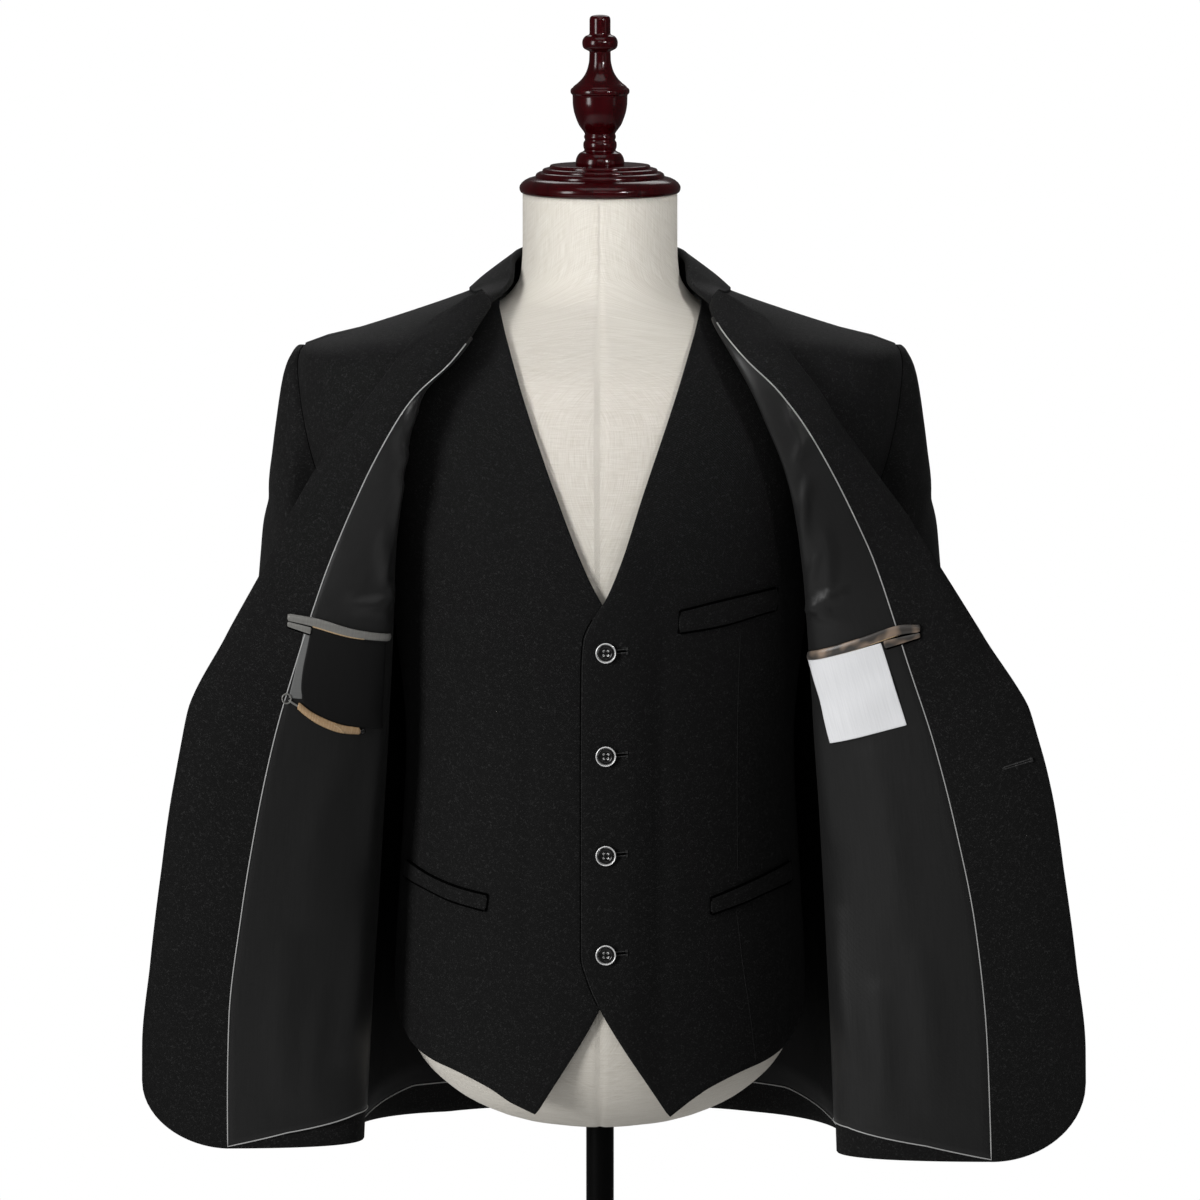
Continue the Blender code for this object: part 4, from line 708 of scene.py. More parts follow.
looks = {
    "wool": woolMaterial(),
    "waistcoat": woolMaterial("waistcoat wool", 0.85),
    "lining": satinMaterial("dark grey satin", grey(0.009), grey(0.014, -0.0001), 0.38, 0.015, 0.2),
    "paleLining": satinMaterial("pale grey satin", (0.1, 0.102, 0.1), (0.15, 0.152, 0.15), 0.4),
    "tape": satinMaterial("grey satin tape", (0.1, 0.1, 0.094), (0.22, 0.215, 0.2), 0.3, 0.1),
    "brownTape": satinMaterial("brown satin tape", (0.045, 0.04, 0.036), (0.26, 0.19, 0.14), 0.3, 0.1,
                               patches=True),
    "bronze": satinMaterial("bronze satin", (0.26, 0.16, 0.08), (0.46, 0.315, 0.175), 0.27, 0.1),
    "bronzeEdge": satinMaterial("bronze edge", (0.3, 0.2, 0.1), (0.6, 0.44, 0.27), 0.27, 0.1),
    "pocketCloth": satinMaterial("dark pocket cloth", grey(0.0062, 0.0001), grey(0.0086), 0.45, 0.015, 0.1),
    # The lining's satin made several times darker: painted shade where the back's lining lies in shadow.
    "paintedShadeLining": satinMaterial("satin darkened as painted shade", grey(0.002), grey(0.0036), 0.42, 0.01, 0.08),
    "piping": satinMaterial("pale piping", grey(0.26), grey(0.46, -0.01), 0.42),
    "label": satinMaterial("white satin", (0.66, 0.665, 0.68), (0.82, 0.825, 0.84), 0.4, 0.1),
    "linen": linenMaterial(),
    "mahogany": mahoganyMaterial(),
    "metal": metalMaterial(),
    "horn": hornMaterial("black horn", (0.002, 0.002, 0.0022), (0.011, 0.0106, 0.0102), 0.24),
    "rim": hornMaterial("silvered rim", grey(0.75), grey(0.95, -0.01), 0.36, 0.6),
    "thread": woolMaterial("black thread", 1.6),
    "holeThread": woolMaterial("buttonhole thread", 5.0),
    # Wool made lighter for a painted highlight along the waistcoat's edge.
    "edgeHighlight": woolMaterial("painted edge highlight", 2.3),
    # Near-black wool with no sheen or gloss: seams, and painted shade in grooves, slots and round the edges
    # of welts.
    "seam": woolMaterial("seam and painted shade", 0.12, 0.0),
}
print("materials made:", len(looks))


# The form and its stand. The base's profile is in shares of its radius.
formParts = {
    "steps": 240, "seams": (0.0, 90.0, 180.0, 270.0), "seamDepth": 0.0007, "seamWidth": 0.0016,
    "capUnder": 1.5575, "capSteps": 96, "finialSteps": 72, "finialStep": 0.0012, "finialGap": 0.0001,
    "poleRadius": 0.0112, "poleTop": 0.8068, "poleSteps": 48, "poleSunk": 0.0002,
    "baseRadius": 0.18, "baseHeight": 0.022, "baseSteps": 128,
}
baseProfile = [(0.99, 0.0), (0.997, 0.0006), (1.0, 0.002), (1.0, 0.011), (0.997, 0.014), (0.985, 0.0164),
               (0.95, 0.0179), (0.8, 0.0199), (0.5, 0.0209), (0.16, 0.0216), (0.13, 0.0219), (0.12, 0.0216)]
capProfile = [(0.059, 0.0), (0.0612, 0.0003), (0.0628, 0.0012), (0.0637, 0.0028), (0.064, 0.0046),
              (0.0636, 0.0064), (0.0622, 0.0084), (0.0598, 0.0104), (0.0568, 0.0119), (0.054, 0.0127),
              (0.052, 0.0129), (0.051, 0.0132), (0.0511, 0.0144), (0.0504, 0.0158), (0.0488, 0.0168),
              (0.0468, 0.0172), (0.0456, 0.0175), (0.0457, 0.0186), (0.0448, 0.0196), (0.043, 0.0201),
              (0.0408, 0.0203), (0.0398, 0.0206), (0.0399, 0.0217), (0.0392, 0.0226), (0.0376, 0.0228),
              (0.02, 0.0228)]
finialProfile = [(0.019, -0.0006), (0.0193, 0.001), (0.0192, 0.0031), (0.0184, 0.006), (0.0163, 0.009),
                 (0.0126, 0.0111), (0.0124, 0.0118), (0.013, 0.0132), (0.0133, 0.0155), (0.013, 0.0178),
                 (0.012, 0.0193), (0.012, 0.02), (0.0126, 0.0213), (0.0126, 0.0227), (0.012, 0.0241),
                 (0.0122, 0.0248), (0.0141, 0.0276), (0.0168, 0.0315), (0.0192, 0.0373), (0.0208, 0.0427),
                 (0.0216, 0.0485), (0.0218, 0.0549), (0.0222, 0.0555), (0.0232, 0.0565), (0.0234, 0.0582),
                 (0.023, 0.0598), (0.0216, 0.0609), (0.0212, 0.0615), (0.0178, 0.0644), (0.0143, 0.0679),
                 (0.0112, 0.0727), (0.0095, 0.0776), (0.0086, 0.0825), (0.0084, 0.0892), (0.01, 0.0902),
                 (0.0128, 0.0918), (0.0139, 0.0941), (0.0141, 0.0965), (0.0134, 0.0993), (0.0112, 0.1017),
                 (0.0092, 0.1024), (0.0083, 0.1036), (0.0083, 0.1142), (0.0081, 0.1156), (0.0073, 0.1169),
                 (0.0056, 0.1177), (0.003, 0.1181)]


# A profile made smooth: a curve through its points, by the distance along it.
def smoothProfile(rows, step):
    run = runAlong(rows)
    return smoothThrough(run, rows, finer(run, step))


def makeForm():
    z = finer(np.sort(formSections["z"]), sizes["fine"])
    angle = np.linspace(0, 360, formParts["steps"], endpoint=False)
    grid = sectionPoint(formSections, angle[None, :], z[:, None])
    normals = turnedTo(gridNormals(grid, ring=True), grid * (1, 1, 0))
    for seam in formParts["seams"]:  # the cover's seams, down the front, the back and each side
        away = np.abs((angle - seam + 180) % 360 - 180) * math.pi / 180 * np.hypot(grid[..., 0], grid[..., 1])
        sunk = formParts["seamDepth"] * np.exp(-(away / formParts["seamWidth"]) ** 2)
        grid = grid - normals * sunk[..., None]
    points = grid.reshape(-1, 3)
    faces = pipeFaces(points, np.arange(len(points)).reshape(grid.shape[:2]))
    newPiece("form_cover", points, faces, gridUV(grid), "linen", ["form_torso"])


def makeStand():
    cap = np.array(capProfile) + (0, formParts["capUnder"])
    finial = smoothProfile(finialProfile, formParts["finialStep"]) + (0, cap[-1][1] + formParts["finialGap"])
    thick, low = formParts["poleRadius"], formParts["baseHeight"] - formParts["poleSunk"]
    pole = [(thick, low), (thick, formParts["poleTop"])]
    base = np.array(baseProfile) * (formParts["baseRadius"], 1)
    turnedPiece("cap_turned", cap, formParts["capSteps"], "mahogany", ["neck_cap"])
    turnedPiece("finial_turned", finial, formParts["finialSteps"], "mahogany", ["finial"])
    turnedPiece("pole_tube", pole, formParts["poleSteps"], "metal", ["pole"])
    turnedPiece("base_disc", base, formParts["baseSteps"], "metal", ["base"])


makeForm()
makeStand()
print("form and stand made")


# The jacket. In the creases of each open front, across is the distance from the middle and up is the height.
# Each row is a crease's two ends, its half width, its height towards the viewer and its bow.
frontCreases = {
    right: {
        "facing": [(0.285, 1.215, 0.262, 1.29, 0.014, 0.0015, 0.004),
                   (0.33, 0.99, 0.372, 0.965, 0.016, 0.0012, 0.0),
                   (0.3, 1.12, 0.335, 1.085, 0.018, 0.0014, 0.003)],
        "lining": [(0.16, 1.2325, 0.19, 1.2528, 0.003, 0.006, 0.0015),
                   (0.17, 1.2374, 0.19, 1.2306, 0.0028, 0.0034, -0.002),
                   (0.179, 1.252, 0.176, 1.3, 0.005, 0.0026, -0.002),
                   (0.16, 1.3, 0.163, 1.345, 0.0036, 0.004, 0.002),
                   (0.152, 1.352, 0.16, 1.378, 0.0032, 0.0034, 0.0),
                   (0.15, 1.385, 0.147, 1.41, 0.003, 0.0034, 0.001),
                   (0.166, 1.264, 0.172, 1.285, 0.003, 0.0024, 0.0),
                   (0.17, 1.15, 0.182, 1.05, 0.007, 0.0026, 0.002),
                   (0.214, 1.118, 0.236, 0.985, 0.012, 0.0022, 0.006),
                   (0.19, 0.985, 0.205, 0.87, 0.0085, 0.003, -0.003),
                   (0.252, 0.96, 0.262, 0.845, 0.011, 0.0024, 0.004),
                   (0.221, 0.93, 0.226, 0.83, 0.007, 0.002, 0.002)],
    },
    left: {
        "facing": [(0.282, 1.22, 0.258, 1.292, 0.014, 0.0014, 0.004),
                   (0.3, 0.98, 0.346, 0.955, 0.016, 0.0012, 0.0),
                   (0.285, 1.13, 0.316, 1.095, 0.018, 0.0013, 0.003)],
        "lining": [(0.1636, 1.2513, 0.196, 1.2435, 0.0032, 0.006, -0.0045),
                   (0.163, 1.2463, 0.179, 1.2415, 0.0026, 0.004, -0.0035),
                   (0.169, 1.256, 0.168, 1.3, 0.0046, 0.0026, -0.002),
                   (0.158, 1.31, 0.157, 1.345, 0.0036, 0.004, 0.002),
                   (0.152, 1.352, 0.157, 1.375, 0.0032, 0.0036, 0.0),
                   (0.149, 1.385, 0.146, 1.408, 0.003, 0.0034, 0.001),
                   (0.17, 1.264, 0.166, 1.286, 0.003, 0.0024, 0.0),
                   (0.172, 1.14, 0.184, 1.035, 0.007, 0.0026, 0.002),
                   (0.205, 1.12, 0.232, 1.0, 0.012, 0.0022, 0.005),
                   (0.192, 0.99, 0.204, 0.88, 0.0085, 0.003, -0.003),
                   (0.246, 0.965, 0.25, 0.85, 0.011, 0.0024, 0.004),
                   (0.222, 0.925, 0.229, 0.838, 0.007, 0.002, 0.002)],
    },
}


def creaseHeight(side, part, x, z):
    return creases(np.abs(x), z, frontCreases[side][part])


# How far each column of a front lies past its fold: 0 on the body, rising to 1 on the open side.
def pastFold(grid):
    across = np.abs(grid[..., 0])
    turning = np.argmin(across, axis=1)[:, None]
    return np.clip((np.arange(grid.shape[1])[None, :] - turning) / 4.0, 0, 1)


# How a lining is cut short of the wool: above the hem by its column, or by the share from the side seam on
# the back; and on the open side below the gorge.
liningCut = {
    "hemColumns": [0, 12, 34, 46, pipingColumn], "hem": [0.029, 0.029, 0.023, 0.012, 0.0015],
    "topColumns": [20, 34, pipingColumn], "overPiping": 0.001,
    "backShares": [0, 0.1, 0.35, 1], "backHem": [0.004, 0.009, 0.024, 0.03], "backSunk": 0.003,
}


# The thin cord between the facing and the lining, and along the lining's hem.
pipingLook = {"radius": 0.0005, "top": {right: 1.464, left: 1.4505}, "sides": 8}


def makeCord(name, route, stands=()):
    tube(name, route, pipingLook["radius"], pipingLook["sides"], "piping", stands)


# The lining's or facing's two levels, from the middle of the wool, and the middle of the cord along it.
liningTop = -sizes["cloth"] / 2 - sizes["pieceGap"]
liningFace = liningTop - sizes["lining"]
cordLevel = liningFace - pipingLook["radius"] * 0.5


def makeShell(name, grid, normals, stands):
    half = sizes["cloth"] / 2
    shell = clothWall(name, grid, normals, -half, half, "wool", stands)
    return cloth(shell, grid)


# A piece of lining or facing on the inside of a shell.
def makeInner(name, shell, grid, normals, look, stands):
    piece = clothWall(name, grid, normals, liningFace, liningTop, look, stands)
    cloth(piece, grid, rests=(shell,))


def makeFront(side):
    name = sideName[side]
    grid = frontGrid(side)
    normals = gridNormals(grid) * -side
    shell = makeShell(f"front_{name}", grid, normals, [f"jacket_front_{name}"])

    facing, facingNormals = grid[:, pipingColumn:], normals[:, pipingColumn:]
    lift = creaseHeight(side, "facing", facing[..., 0], facing[..., 2]) * fadedEnds(facing.shape[1], 4.0)
    facing = facing - facingNormals * lift[..., None]
    makeInner(f"facing_turned_{name}", shell, facing, facingNormals, "wool", [f"facing_{name}"])

    columns = np.arange(pipingColumn + 1)
    hem = np.interp(columns, liningCut["hemColumns"], liningCut["hem"])
    top = sizes["gorgeZ"] - pipingLook["top"][side] - liningCut["overPiping"]
    lining = trimmed(grid[:, columns], hem, np.interp(columns, liningCut["topColumns"], [0.0, top, top]))
    liningNormals = gridNormals(lining) * -side
    lift = creaseHeight(side, "lining", lining[..., 0], lining[..., 2]) * pastFold(lining)
    lift = lift * np.clip((pipingColumn - columns) / 4.0, 0, 1)
    lining = lining - liningNormals * lift[..., None]
    makeInner(f"lining_satin_{name}", shell, lining, liningNormals, "lining",
              [f"lining_front_{name}"])

    edge = (lining[:, -1] + liningNormals[:, -1] * cordLevel)[::-1]
    edge = edge[edge[:, 2] < pipingLook["top"][side]]
    foot = (lining[0] + liningNormals[0] * cordLevel)[::-1]
    makeCord(f"cord_{name}", np.concatenate([edge, foot[1:]]), [f"piping_{name}"])


# A round tube along a route: centre + radius * (cos(a) * across + sin(a) * other), both square to the
# route. It is closed at each end by a disc a tenth as wide.
def tube(name, route, radius, sides, look, stands=(), guide=(0.0, -1.0, 0.02)):
    route = np.concatenate([route[:1], route, route[-1:]])
    wide = np.full(len(route), radius)
    wide[[0, -1]] = radius * 0.1
    ahead = unit(np.gradient(route, axis=0))
    across = unit(np.cross(ahead, guide))
    other = np.cross(across, ahead)
    angle = np.linspace(0, 2 * math.pi, sides, endpoint=False)[None, :, None]
    turned = np.cos(angle) * across[:, None] + np.sin(angle) * other[:, None]
    points = (route[:, None] + wide[:, None, None] * turned).reshape(-1, 3)
    index = np.arange(len(points)).reshape(len(route), sides)
    run = runAlong(route)
    around = np.linspace(0, 2 * math.pi * radius, sides)
    uv = np.stack(np.broadcast_arrays(around[None, :], run[:, None]), axis=-1).reshape(-1, 2)
    return newPiece(name, points, pipeFaces(points, index), uv, look, stands)


for side in (right, left):
    makeFront(side)
print("fronts made")


def backColumn(side, share):
    hem = sideHem(side) + (sizes["hemBackZ"] - sideHem(side)) * min(1.0, 2 * share)
    z = rowHeights(hem, sizes["neckZ"] - 0.005 * share)
    seam = seamAngle("back", z)
    column = sectionPoint(jacketSections, seam + (180 - seam) * share, z) * (side, 1, 1)
    if share == 1:
        column[:, 0] = side * backLook["halfSeam"]
    return column


# The back's two halves don't crease alike: one's creases lie lower and are softer.
backLook = {
    "columns": 48, "halfSeam": 0.0002, "deepest": 0.0026,
    "lower": {right: 0.015, left: 0.0}, "strength": {right: 0.8, left: 1.0},
}
# Creases of the back: across is the distance from centre back.
backCreases = [
    (0.03, 1.44, 0.11, 1.395, 0.016, -0.0022, 0.01), (0.06, 1.33, 0.15, 1.3, 0.018, -0.002, -0.008),
    (0.02, 1.17, 0.11, 1.185, 0.013, -0.0024, 0.006), (0.035, 1.13, 0.14, 1.12, 0.012, 0.002, -0.005),
    (0.11, 1.08, 0.13, 0.93, 0.02, -0.003, 0.008), (0.055, 1.05, 0.06, 0.86, 0.024, -0.0026, -0.006),
    (0.155, 0.98, 0.165, 0.85, 0.017, 0.0026, 0.004),
]


def makeBack(side):
    name = sideName[side]
    shares = np.linspace(0, 1, backLook["columns"])
    columns = [backColumn(side, share) for share in shares]
    grid = smoothThrough(panelLevels, np.stack(columns, axis=1), fineLevels)
    normals = turnedTo(gridNormals(grid), grid * (1, 1, 0))
    edges = fadedEnds(len(shares), 5.0)
    lift = creases(np.abs(grid[..., 0]), grid[..., 2] + backLook["lower"][side], backCreases)
    lift = lift * backLook["strength"][side] * edges
    lining = trimmed(grid, np.interp(shares, liningCut["backShares"], liningCut["backHem"]))
    grid = grid + normals * np.maximum(lift, -backLook["deepest"])[..., None]
    shell = makeShell(f"back_{name}", grid, normals, [f"jacket_back_{name}"])
    liningNormals = turnedTo(gridNormals(lining), lining * (1, 1, 0))
    sunk = np.interp(np.arange(len(lining)), [0, 3], [0, -liningCut["backSunk"]])[:, None, None]
    lining = lining + liningNormals * sunk * edges[None, :, None]
    # The back's lining takes the darkened satin, a painted shade.
    makeInner(f"back_lining_{name}", shell, lining, liningNormals, "paintedShadeLining",
              [f"lining_back_{name}"])
    makeCord(f"cord_back_{name}", lining[0] + liningNormals[0] * cordLevel)


for side in (right, left):
    makeBack(side)
print("back made")

# The sleeve below its head: centre and half sizes of each ring; and the way it leaves the armhole.
sleeveRings = table("z x y wide deep", [
    (1.25, 0.2385, 0.012, 0.034, 0.078), (1.15, 0.2475, 0.017, 0.0345, 0.0735),
    (1.05, 0.255, 0.016, 0.034, 0.069), (0.95, 0.2605, 0.01, 0.033, 0.0645),
    (0.87, 0.264, 0.001, 0.0315, 0.0605), (0.825, 0.2655, -0.005, 0.0305, 0.0585),
])
sleeveHead = table("low out down reach", [
    (0.0, 1.0, 0.05, 0.34), (0.1, 0.96, 0.25, 0.45), (0.3, 0.9, 0.42, 0.55), (0.6, 0.85, 0.5, 0.65),
    (0.85, 0.6, 0.8, 0.7), (1.0, 0.3, 0.95, 0.7),
])
# How the sleeve's head stands out past its seam, by the share of the way down.
headRoll = table("down rise", [
    (0.0, 0.0), (0.02, 0.0009), (0.05, 0.0016), (0.1, 0.0014), (0.15, 0.001), (0.2, 0.0005), (0.3, -0.0012),
    (0.4, -0.0022), (0.5, -0.0024), (0.65, -0.0012), (0.8, 0.0), (1.0, 0.0),
])
sleeveTop, cuffZ = 1.25, 0.825
sleeveLook = {
    "halfSteps": 41, "headRows": 47, "rows": 72, "girth": 0.34,
    "thin": 0.9,  # cloth without canvas, as a share of the front's thickness
}


def sleeveRing(side, around, z):
    x = curveAt(sleeveRings, "x", z) + curveAt(sleeveRings, "wide", z) * np.cos(around)
    y = curveAt(sleeveRings, "y", z) - curveAt(sleeveRings, "deep", z) * np.sin(around)
    return np.stack([side * x, y, z + 0 * x], axis=-1)


# Normals of a grid of rings, away from the middle of each ring.
def tubeNormals(grid):
    return turnedTo(gridNormals(grid, ring=True), grid - grid.mean(axis=1, keepdims=True))


# Half of the armhole's edge, from the shoulder point down to the armpit, in equal steps of length.
def armholeHalf(side, panel, count):
    z = armhole["z"]
    points = sectionPoint(jacketSections, armholeAngle(panel, z), z) * (side, 1, 1)
    run = runAlong(points)
    return smoothThrough(run, points, np.linspace(run[-1], 0, count))


# The sleeve's head leaves the armhole's edge and curves down to the first ring of those that go on to the
# cuff.
def sleeveGrid(side):
    count = sleeveLook["halfSteps"]
    front, back = armholeHalf(side, "front", count), armholeHalf(side, "back", count)
    points = np.concatenate([front, back[-2:0:-1]])
    z = points[:, 2]
    angle = np.concatenate([armholeAngle("front", z[:count]), armholeAngle("back", z[count:])])
    normals = sectionNormal(jacketSections, angle, z) * (side, 1, 1)
    into = unit(np.cross(normals, np.roll(points, -1, axis=0) - np.roll(points, 1, axis=0)))
    into = turnedTo(into, points.mean(axis=0) - points)
    low = (sizes["shoulderZ"] - z) / (sizes["shoulderZ"] - sizes["armpitZ"])
    out, down = curveAt(sleeveHead, "out", low), curveAt(sleeveHead, "down", low)
    way = unit(np.stack([side * out, 0.2 * into[:, 1], -down], axis=-1))
    along, off = np.sum(way * into, axis=-1), np.sum(way * normals, axis=-1)
    above = np.clip(0.55 - along * 3, 0, 1) * (sizes["cloth"] + 0.0002)
    start = points + into * (0.0004 + 0.0006 * np.clip(off, 0, 1))[:, None] + normals * above[:, None]
    around = math.pi * np.arange(len(points)) / (count - 1)
    end = sleeveRing(side, around, np.full(len(points), sleeveTop))
    drop = unit(sleeveRing(side, around, np.full(len(points), sleeveTop - 0.01)) - end)
    chord = np.linalg.norm(end - start, axis=-1, keepdims=True)
    leave, arrive = way * curveAt(sleeveHead, "reach", low)[:, None] * chord, drop * chord * 0.9
    steps = np.linspace(0, 1, sleeveLook["headRows"] + 1)[:-1] ** 1.25
    rows = [hermite(t, start, leave, end, arrive) for t in steps]
    levels = np.linspace(sleeveTop, cuffZ, sleeveLook["rows"])
    rows += [sleeveRing(side, around, np.full(len(points), level)) for level in levels]
    grid = np.stack(rows)
    normals = tubeNormals(grid)
    roll = np.concatenate([curveAt(headRoll, "rise", steps), np.zeros(len(grid) - len(steps))])
    share = np.clip(1 - low / 0.75, 0, 1) ** 0.7
    return grid + normals * (roll[:, None] * share)[..., None]


# Creases of a sleeve: across is the way round it from its outer line, in metres, to the front first.
sleeveCreases = [
    (-0.05, 1.33, 0.05, 1.29, 0.013, -0.0022, 0.008), (0.01, 1.2, 0.08, 1.165, 0.011, -0.003, 0.006),
    (-0.08, 1.15, -0.01, 1.12, 0.012, -0.0024, -0.006), (0.03, 1.1, 0.11, 1.12, 0.01, -0.0032, 0.004),
    (0.02, 1.06, 0.1, 1.035, 0.011, -0.0028, -0.004), (-0.07, 1.04, 0.0, 1.01, 0.012, -0.0022, 0.004),
    (0.0, 0.98, 0.08, 0.96, 0.013, -0.002, 0.004), (-0.06, 0.9, 0.05, 0.88, 0.015, -0.0016, 0.004),
]


def makeSleeve(side):
    name = sideName[side]
    grid = sleeveGrid(side)
    normals = tubeNormals(grid)
    count = grid.shape[1]
    around = (np.arange(count) + count // 2) % count - count // 2
    across = around[None, :] / count * sleeveLook["girth"] * np.ones(grid.shape[:2])
    border = fadedEnds(len(grid), 6.0)[:, None]
    grid = grid + normals * (creases(across, grid[..., 2], sleeveCreases) * border)[..., None]
    half = sizes["cloth"] / 2 * sleeveLook["thin"]
    shell = clothWall(f"sleeve_cloth_{name}", grid, normals, -half, half, "wool",
                      [f"sleeve_{name}"], ring=True)
    cloth(shell, grid, rests=(f"front_{name}", f"back_{name}"), ring=True)


# The seam round the front of each armhole: a fine near-black line sunk between sleeve and front, a seam with
# the shade of its groove painted in.
def makeArmholeSeam(side):
    points = armholeHalf(side, "front", 90)[:70]
    angle = armholeAngle("front", points[:, 2])
    normals = sectionNormal(jacketSections, angle, points[:, 2]) * (side, 1, 1)
    route = points + normals * (sizes["cloth"] * 0.5)
    tube(f"armhole_seam_{sideName[side]}", route, 0.0004, 6, "seam")


for side in (right, left):
    makeSleeve(side)
    makeArmholeSeam(side)
print("sleeves made")


# The collar, by stations from centre back to its front edge: its crease and the leaf that lies on the jacket.
collarRows = table("station creaseX creaseY creaseZ leafAngle leafZ clear", [
    (0.0, 0.0, 0.07, 1.512, 180.0, 1.469, 0.003), (0.25, 0.0385, 0.0595, 1.5125, 151.0, 1.4705, 0.0028),
    (0.45, 0.0615, 0.034, 1.511, 122.0, 1.4755, 0.0025), (0.62, 0.07, 0.002, 1.506, 94.0, 1.4795, 0.0023),
    (0.8, 0.0705, -0.026, 1.494, 74.0, 1.4795, 0.0024), (1.0, 0.0845, -0.062, 1.4745, 60.0, 1.478, 0.0024),
])
collarLook = {
    "stations": (0.0, 0.16, 0.32, 0.48, 0.62, 0.72, 0.84, 1.0), "shoulder": 0.62,
    "places": (0.0, 1.0, 1.7, 2.0, 2.3, 3.2, 4.2),  # of a section's points: foot, stand, crease and leaf
    "half": 0.0009, "step": 0.003, "placeStep": 0.1,
    "rise": 0.0016, "gorgeRise": (0.0, 0.0012, 0.0022),  # off the neck's edge and off the lapel
    "gorgeShares": (0.22, 0.55, 1.0, 1.15, 1.35, 1.55),
}


def neckline(side, station):
    shoulder = collarLook["shoulder"]
    if station < shoulder:
        return backColumn(side, 1 - station / shoulder)[-1] * (0 if station == 0 else 1, 1, 1)
    return bodyColumn(side, (station - shoulder) / (1 - shoulder))[-1]


# The collar's section at a station from centre back: foot, stand, crease and leaf. The last one lies along
# the top of the open front and its lapel.
def collarSection(side, station):
    if station == 1:
        points = [bodyColumn(side, 1.0)[-1]]
        for share in collarLook["gorgeShares"]:
            top = sizes["gorgeZ"] if share <= 1 else float(curveAt(lapelTop, "z", share - 1))
            points.append(flapColumn(side, np.array([top]), share)[0])
        return np.stack(points) + collarLook["gorgeRise"]
    crease = np.array([float(curveAt(collarRows, f"crease{axis}", station)) for axis in "XYZ"]) * (side, 1, 1)
    angle, leafZ, clear = (curveAt(collarRows, key, station) for key in ("leafAngle", "leafZ", "clear"))
    leaf = sectionPoint(jacketSections, angle, leafZ) + sectionNormal(jacketSections, angle, leafZ) * clear
    leaf = leaf * (side, 1, 1)
    foot = neckline(side, station) + (0.0, 0.0, collarLook["rise"])
    out = unit((leaf - foot) * (1, 1, 0))
    height = max(crease[2] - foot[2], 0.0)
    roll, up = min(0.0035, 0.0012 + height * 0.12), np.array([0.0, 0.0, 1.0])
    return np.stack([
        foot, foot + (crease - foot) * 0.55, crease - out * roll * 0.7 - up * min(roll, height * 0.35),
        crease, crease + out * roll * 0.8 - up * roll * 0.5,
        crease + (leaf - crease) * 0.62 + out * 0.0008 + up * 0.0006, leaf,
    ])


# The section carried round the neck, with both its ways made finer by smooth curves.
def makeCollar():
    stations = [-s for s in collarLook["stations"][:0:-1]] + list(collarLook["stations"])
    rough = np.stack([collarSection(left if s < 0 else right, abs(s)) for s in stations])
    across = runAlong(rough[:, 3])  # along the crease
    grid = smoothThrough(across, rough, finer(across, collarLook["step"]), loose=True)
    places = finer(collarLook["places"], collarLook["placeStep"])
    grid = smoothThrough(collarLook["places"], np.moveaxis(grid, 1, 0), places, loose=True)
    grid = np.moveaxis(grid, 0, 1)
    half = collarLook["half"]
    normals = gridNormals(grid)
    piece = clothWall("collar_turned", grid, normals, -half, half, "wool", ["collar"])
    cloth(piece, grid, held="folded", rests=("back_right", "back_left"))


makeCollar()
print("collar made")


# The waistcoat: its cut, its buttons' places, and how the cloth laps over and is drawn in round a button.
vest = {
    "top": 1.4745, "hangsBelow": 0.925, "fine": 0.0035, "columns": 56, "seamGap": math.degrees(0.0002 / 0.11),
    "edgeRadius": 0.165, "straight": 0.12,  # the hem runs straight from its point over this share
    "lapAcross": (0.05, 0.026), "lapUp": (1.32, 0.04),  # where the lap ends, and over what way it fades
    "buttonsZ": (1.2085, 1.1247, 1.0453, 0.9664), "buttonX": 0.0045, "drawIn": 0.0017, "drawWidth": 0.0095,
    "backColumns": 36, "backRows": 108, "backDip": 0.01,
}
vestEdge = {
    right: table("z x", [
        (1.4725, 0.0836), (1.4631, 0.0807), (1.429, 0.069), (1.3994, 0.059), (1.3414, 0.0385),
        (1.265, 0.0119), (1.2467, 0.0032), (1.244, 0.0012), (1.2157, -0.0125), (1.19, -0.0138),
        (1.1, -0.0142), (0.965, -0.0142), (0.945, -0.009), (0.9243, 0.0), (0.835, 0.0555),
    ]),
    left: table("z x", [
        (1.4725, 0.0836), (1.4631, 0.0807), (1.429, 0.0697), (1.3994, 0.0602), (1.3414, 0.0398),
        (1.265, 0.0094), (1.2467, -0.0004), (1.244, -0.002), (1.2157, -0.013), (1.1, -0.0135),
        (0.965, -0.0135), (0.945, -0.0085), (0.9243, 0.0), (0.8372, 0.0514),
    ]),
}
vestArmhole = table("z front back", [
    (0.8, 90.0, 90.0), (1.235, 90.0, 90.0), (1.245, 84.0, 97.0), (1.265, 73.0, 107.0), (1.3, 63.0, 115.0),
    (1.34, 58.5, 117.0), (1.38, 59.5, 115.0), (1.408, 66.0, 109.0), (1.424, 78.0, 99.0), (1.43, 90.0, 90.0),
    (1.49, 90.0, 90.0),
])
vestHem = table("angle z", [
    (0, 0.825), (18.5, 0.8365), (27, 0.8455), (36, 0.8565), (48, 0.8668), (58, 0.8727), (68, 0.8812),
    (76, 0.8935), (84, 0.912), (90, 0.936), (180, 0.936),
])
# The dart's hollow on each waistcoat front, by x and height.
vestCreases = {
    right: [(0.047, 1.215, 0.046, 0.915, 0.005, -0.001, 0.0)],
    left: [(0.056, 1.215, 0.058, 0.915, 0.005, -0.001, 0.0)],
}


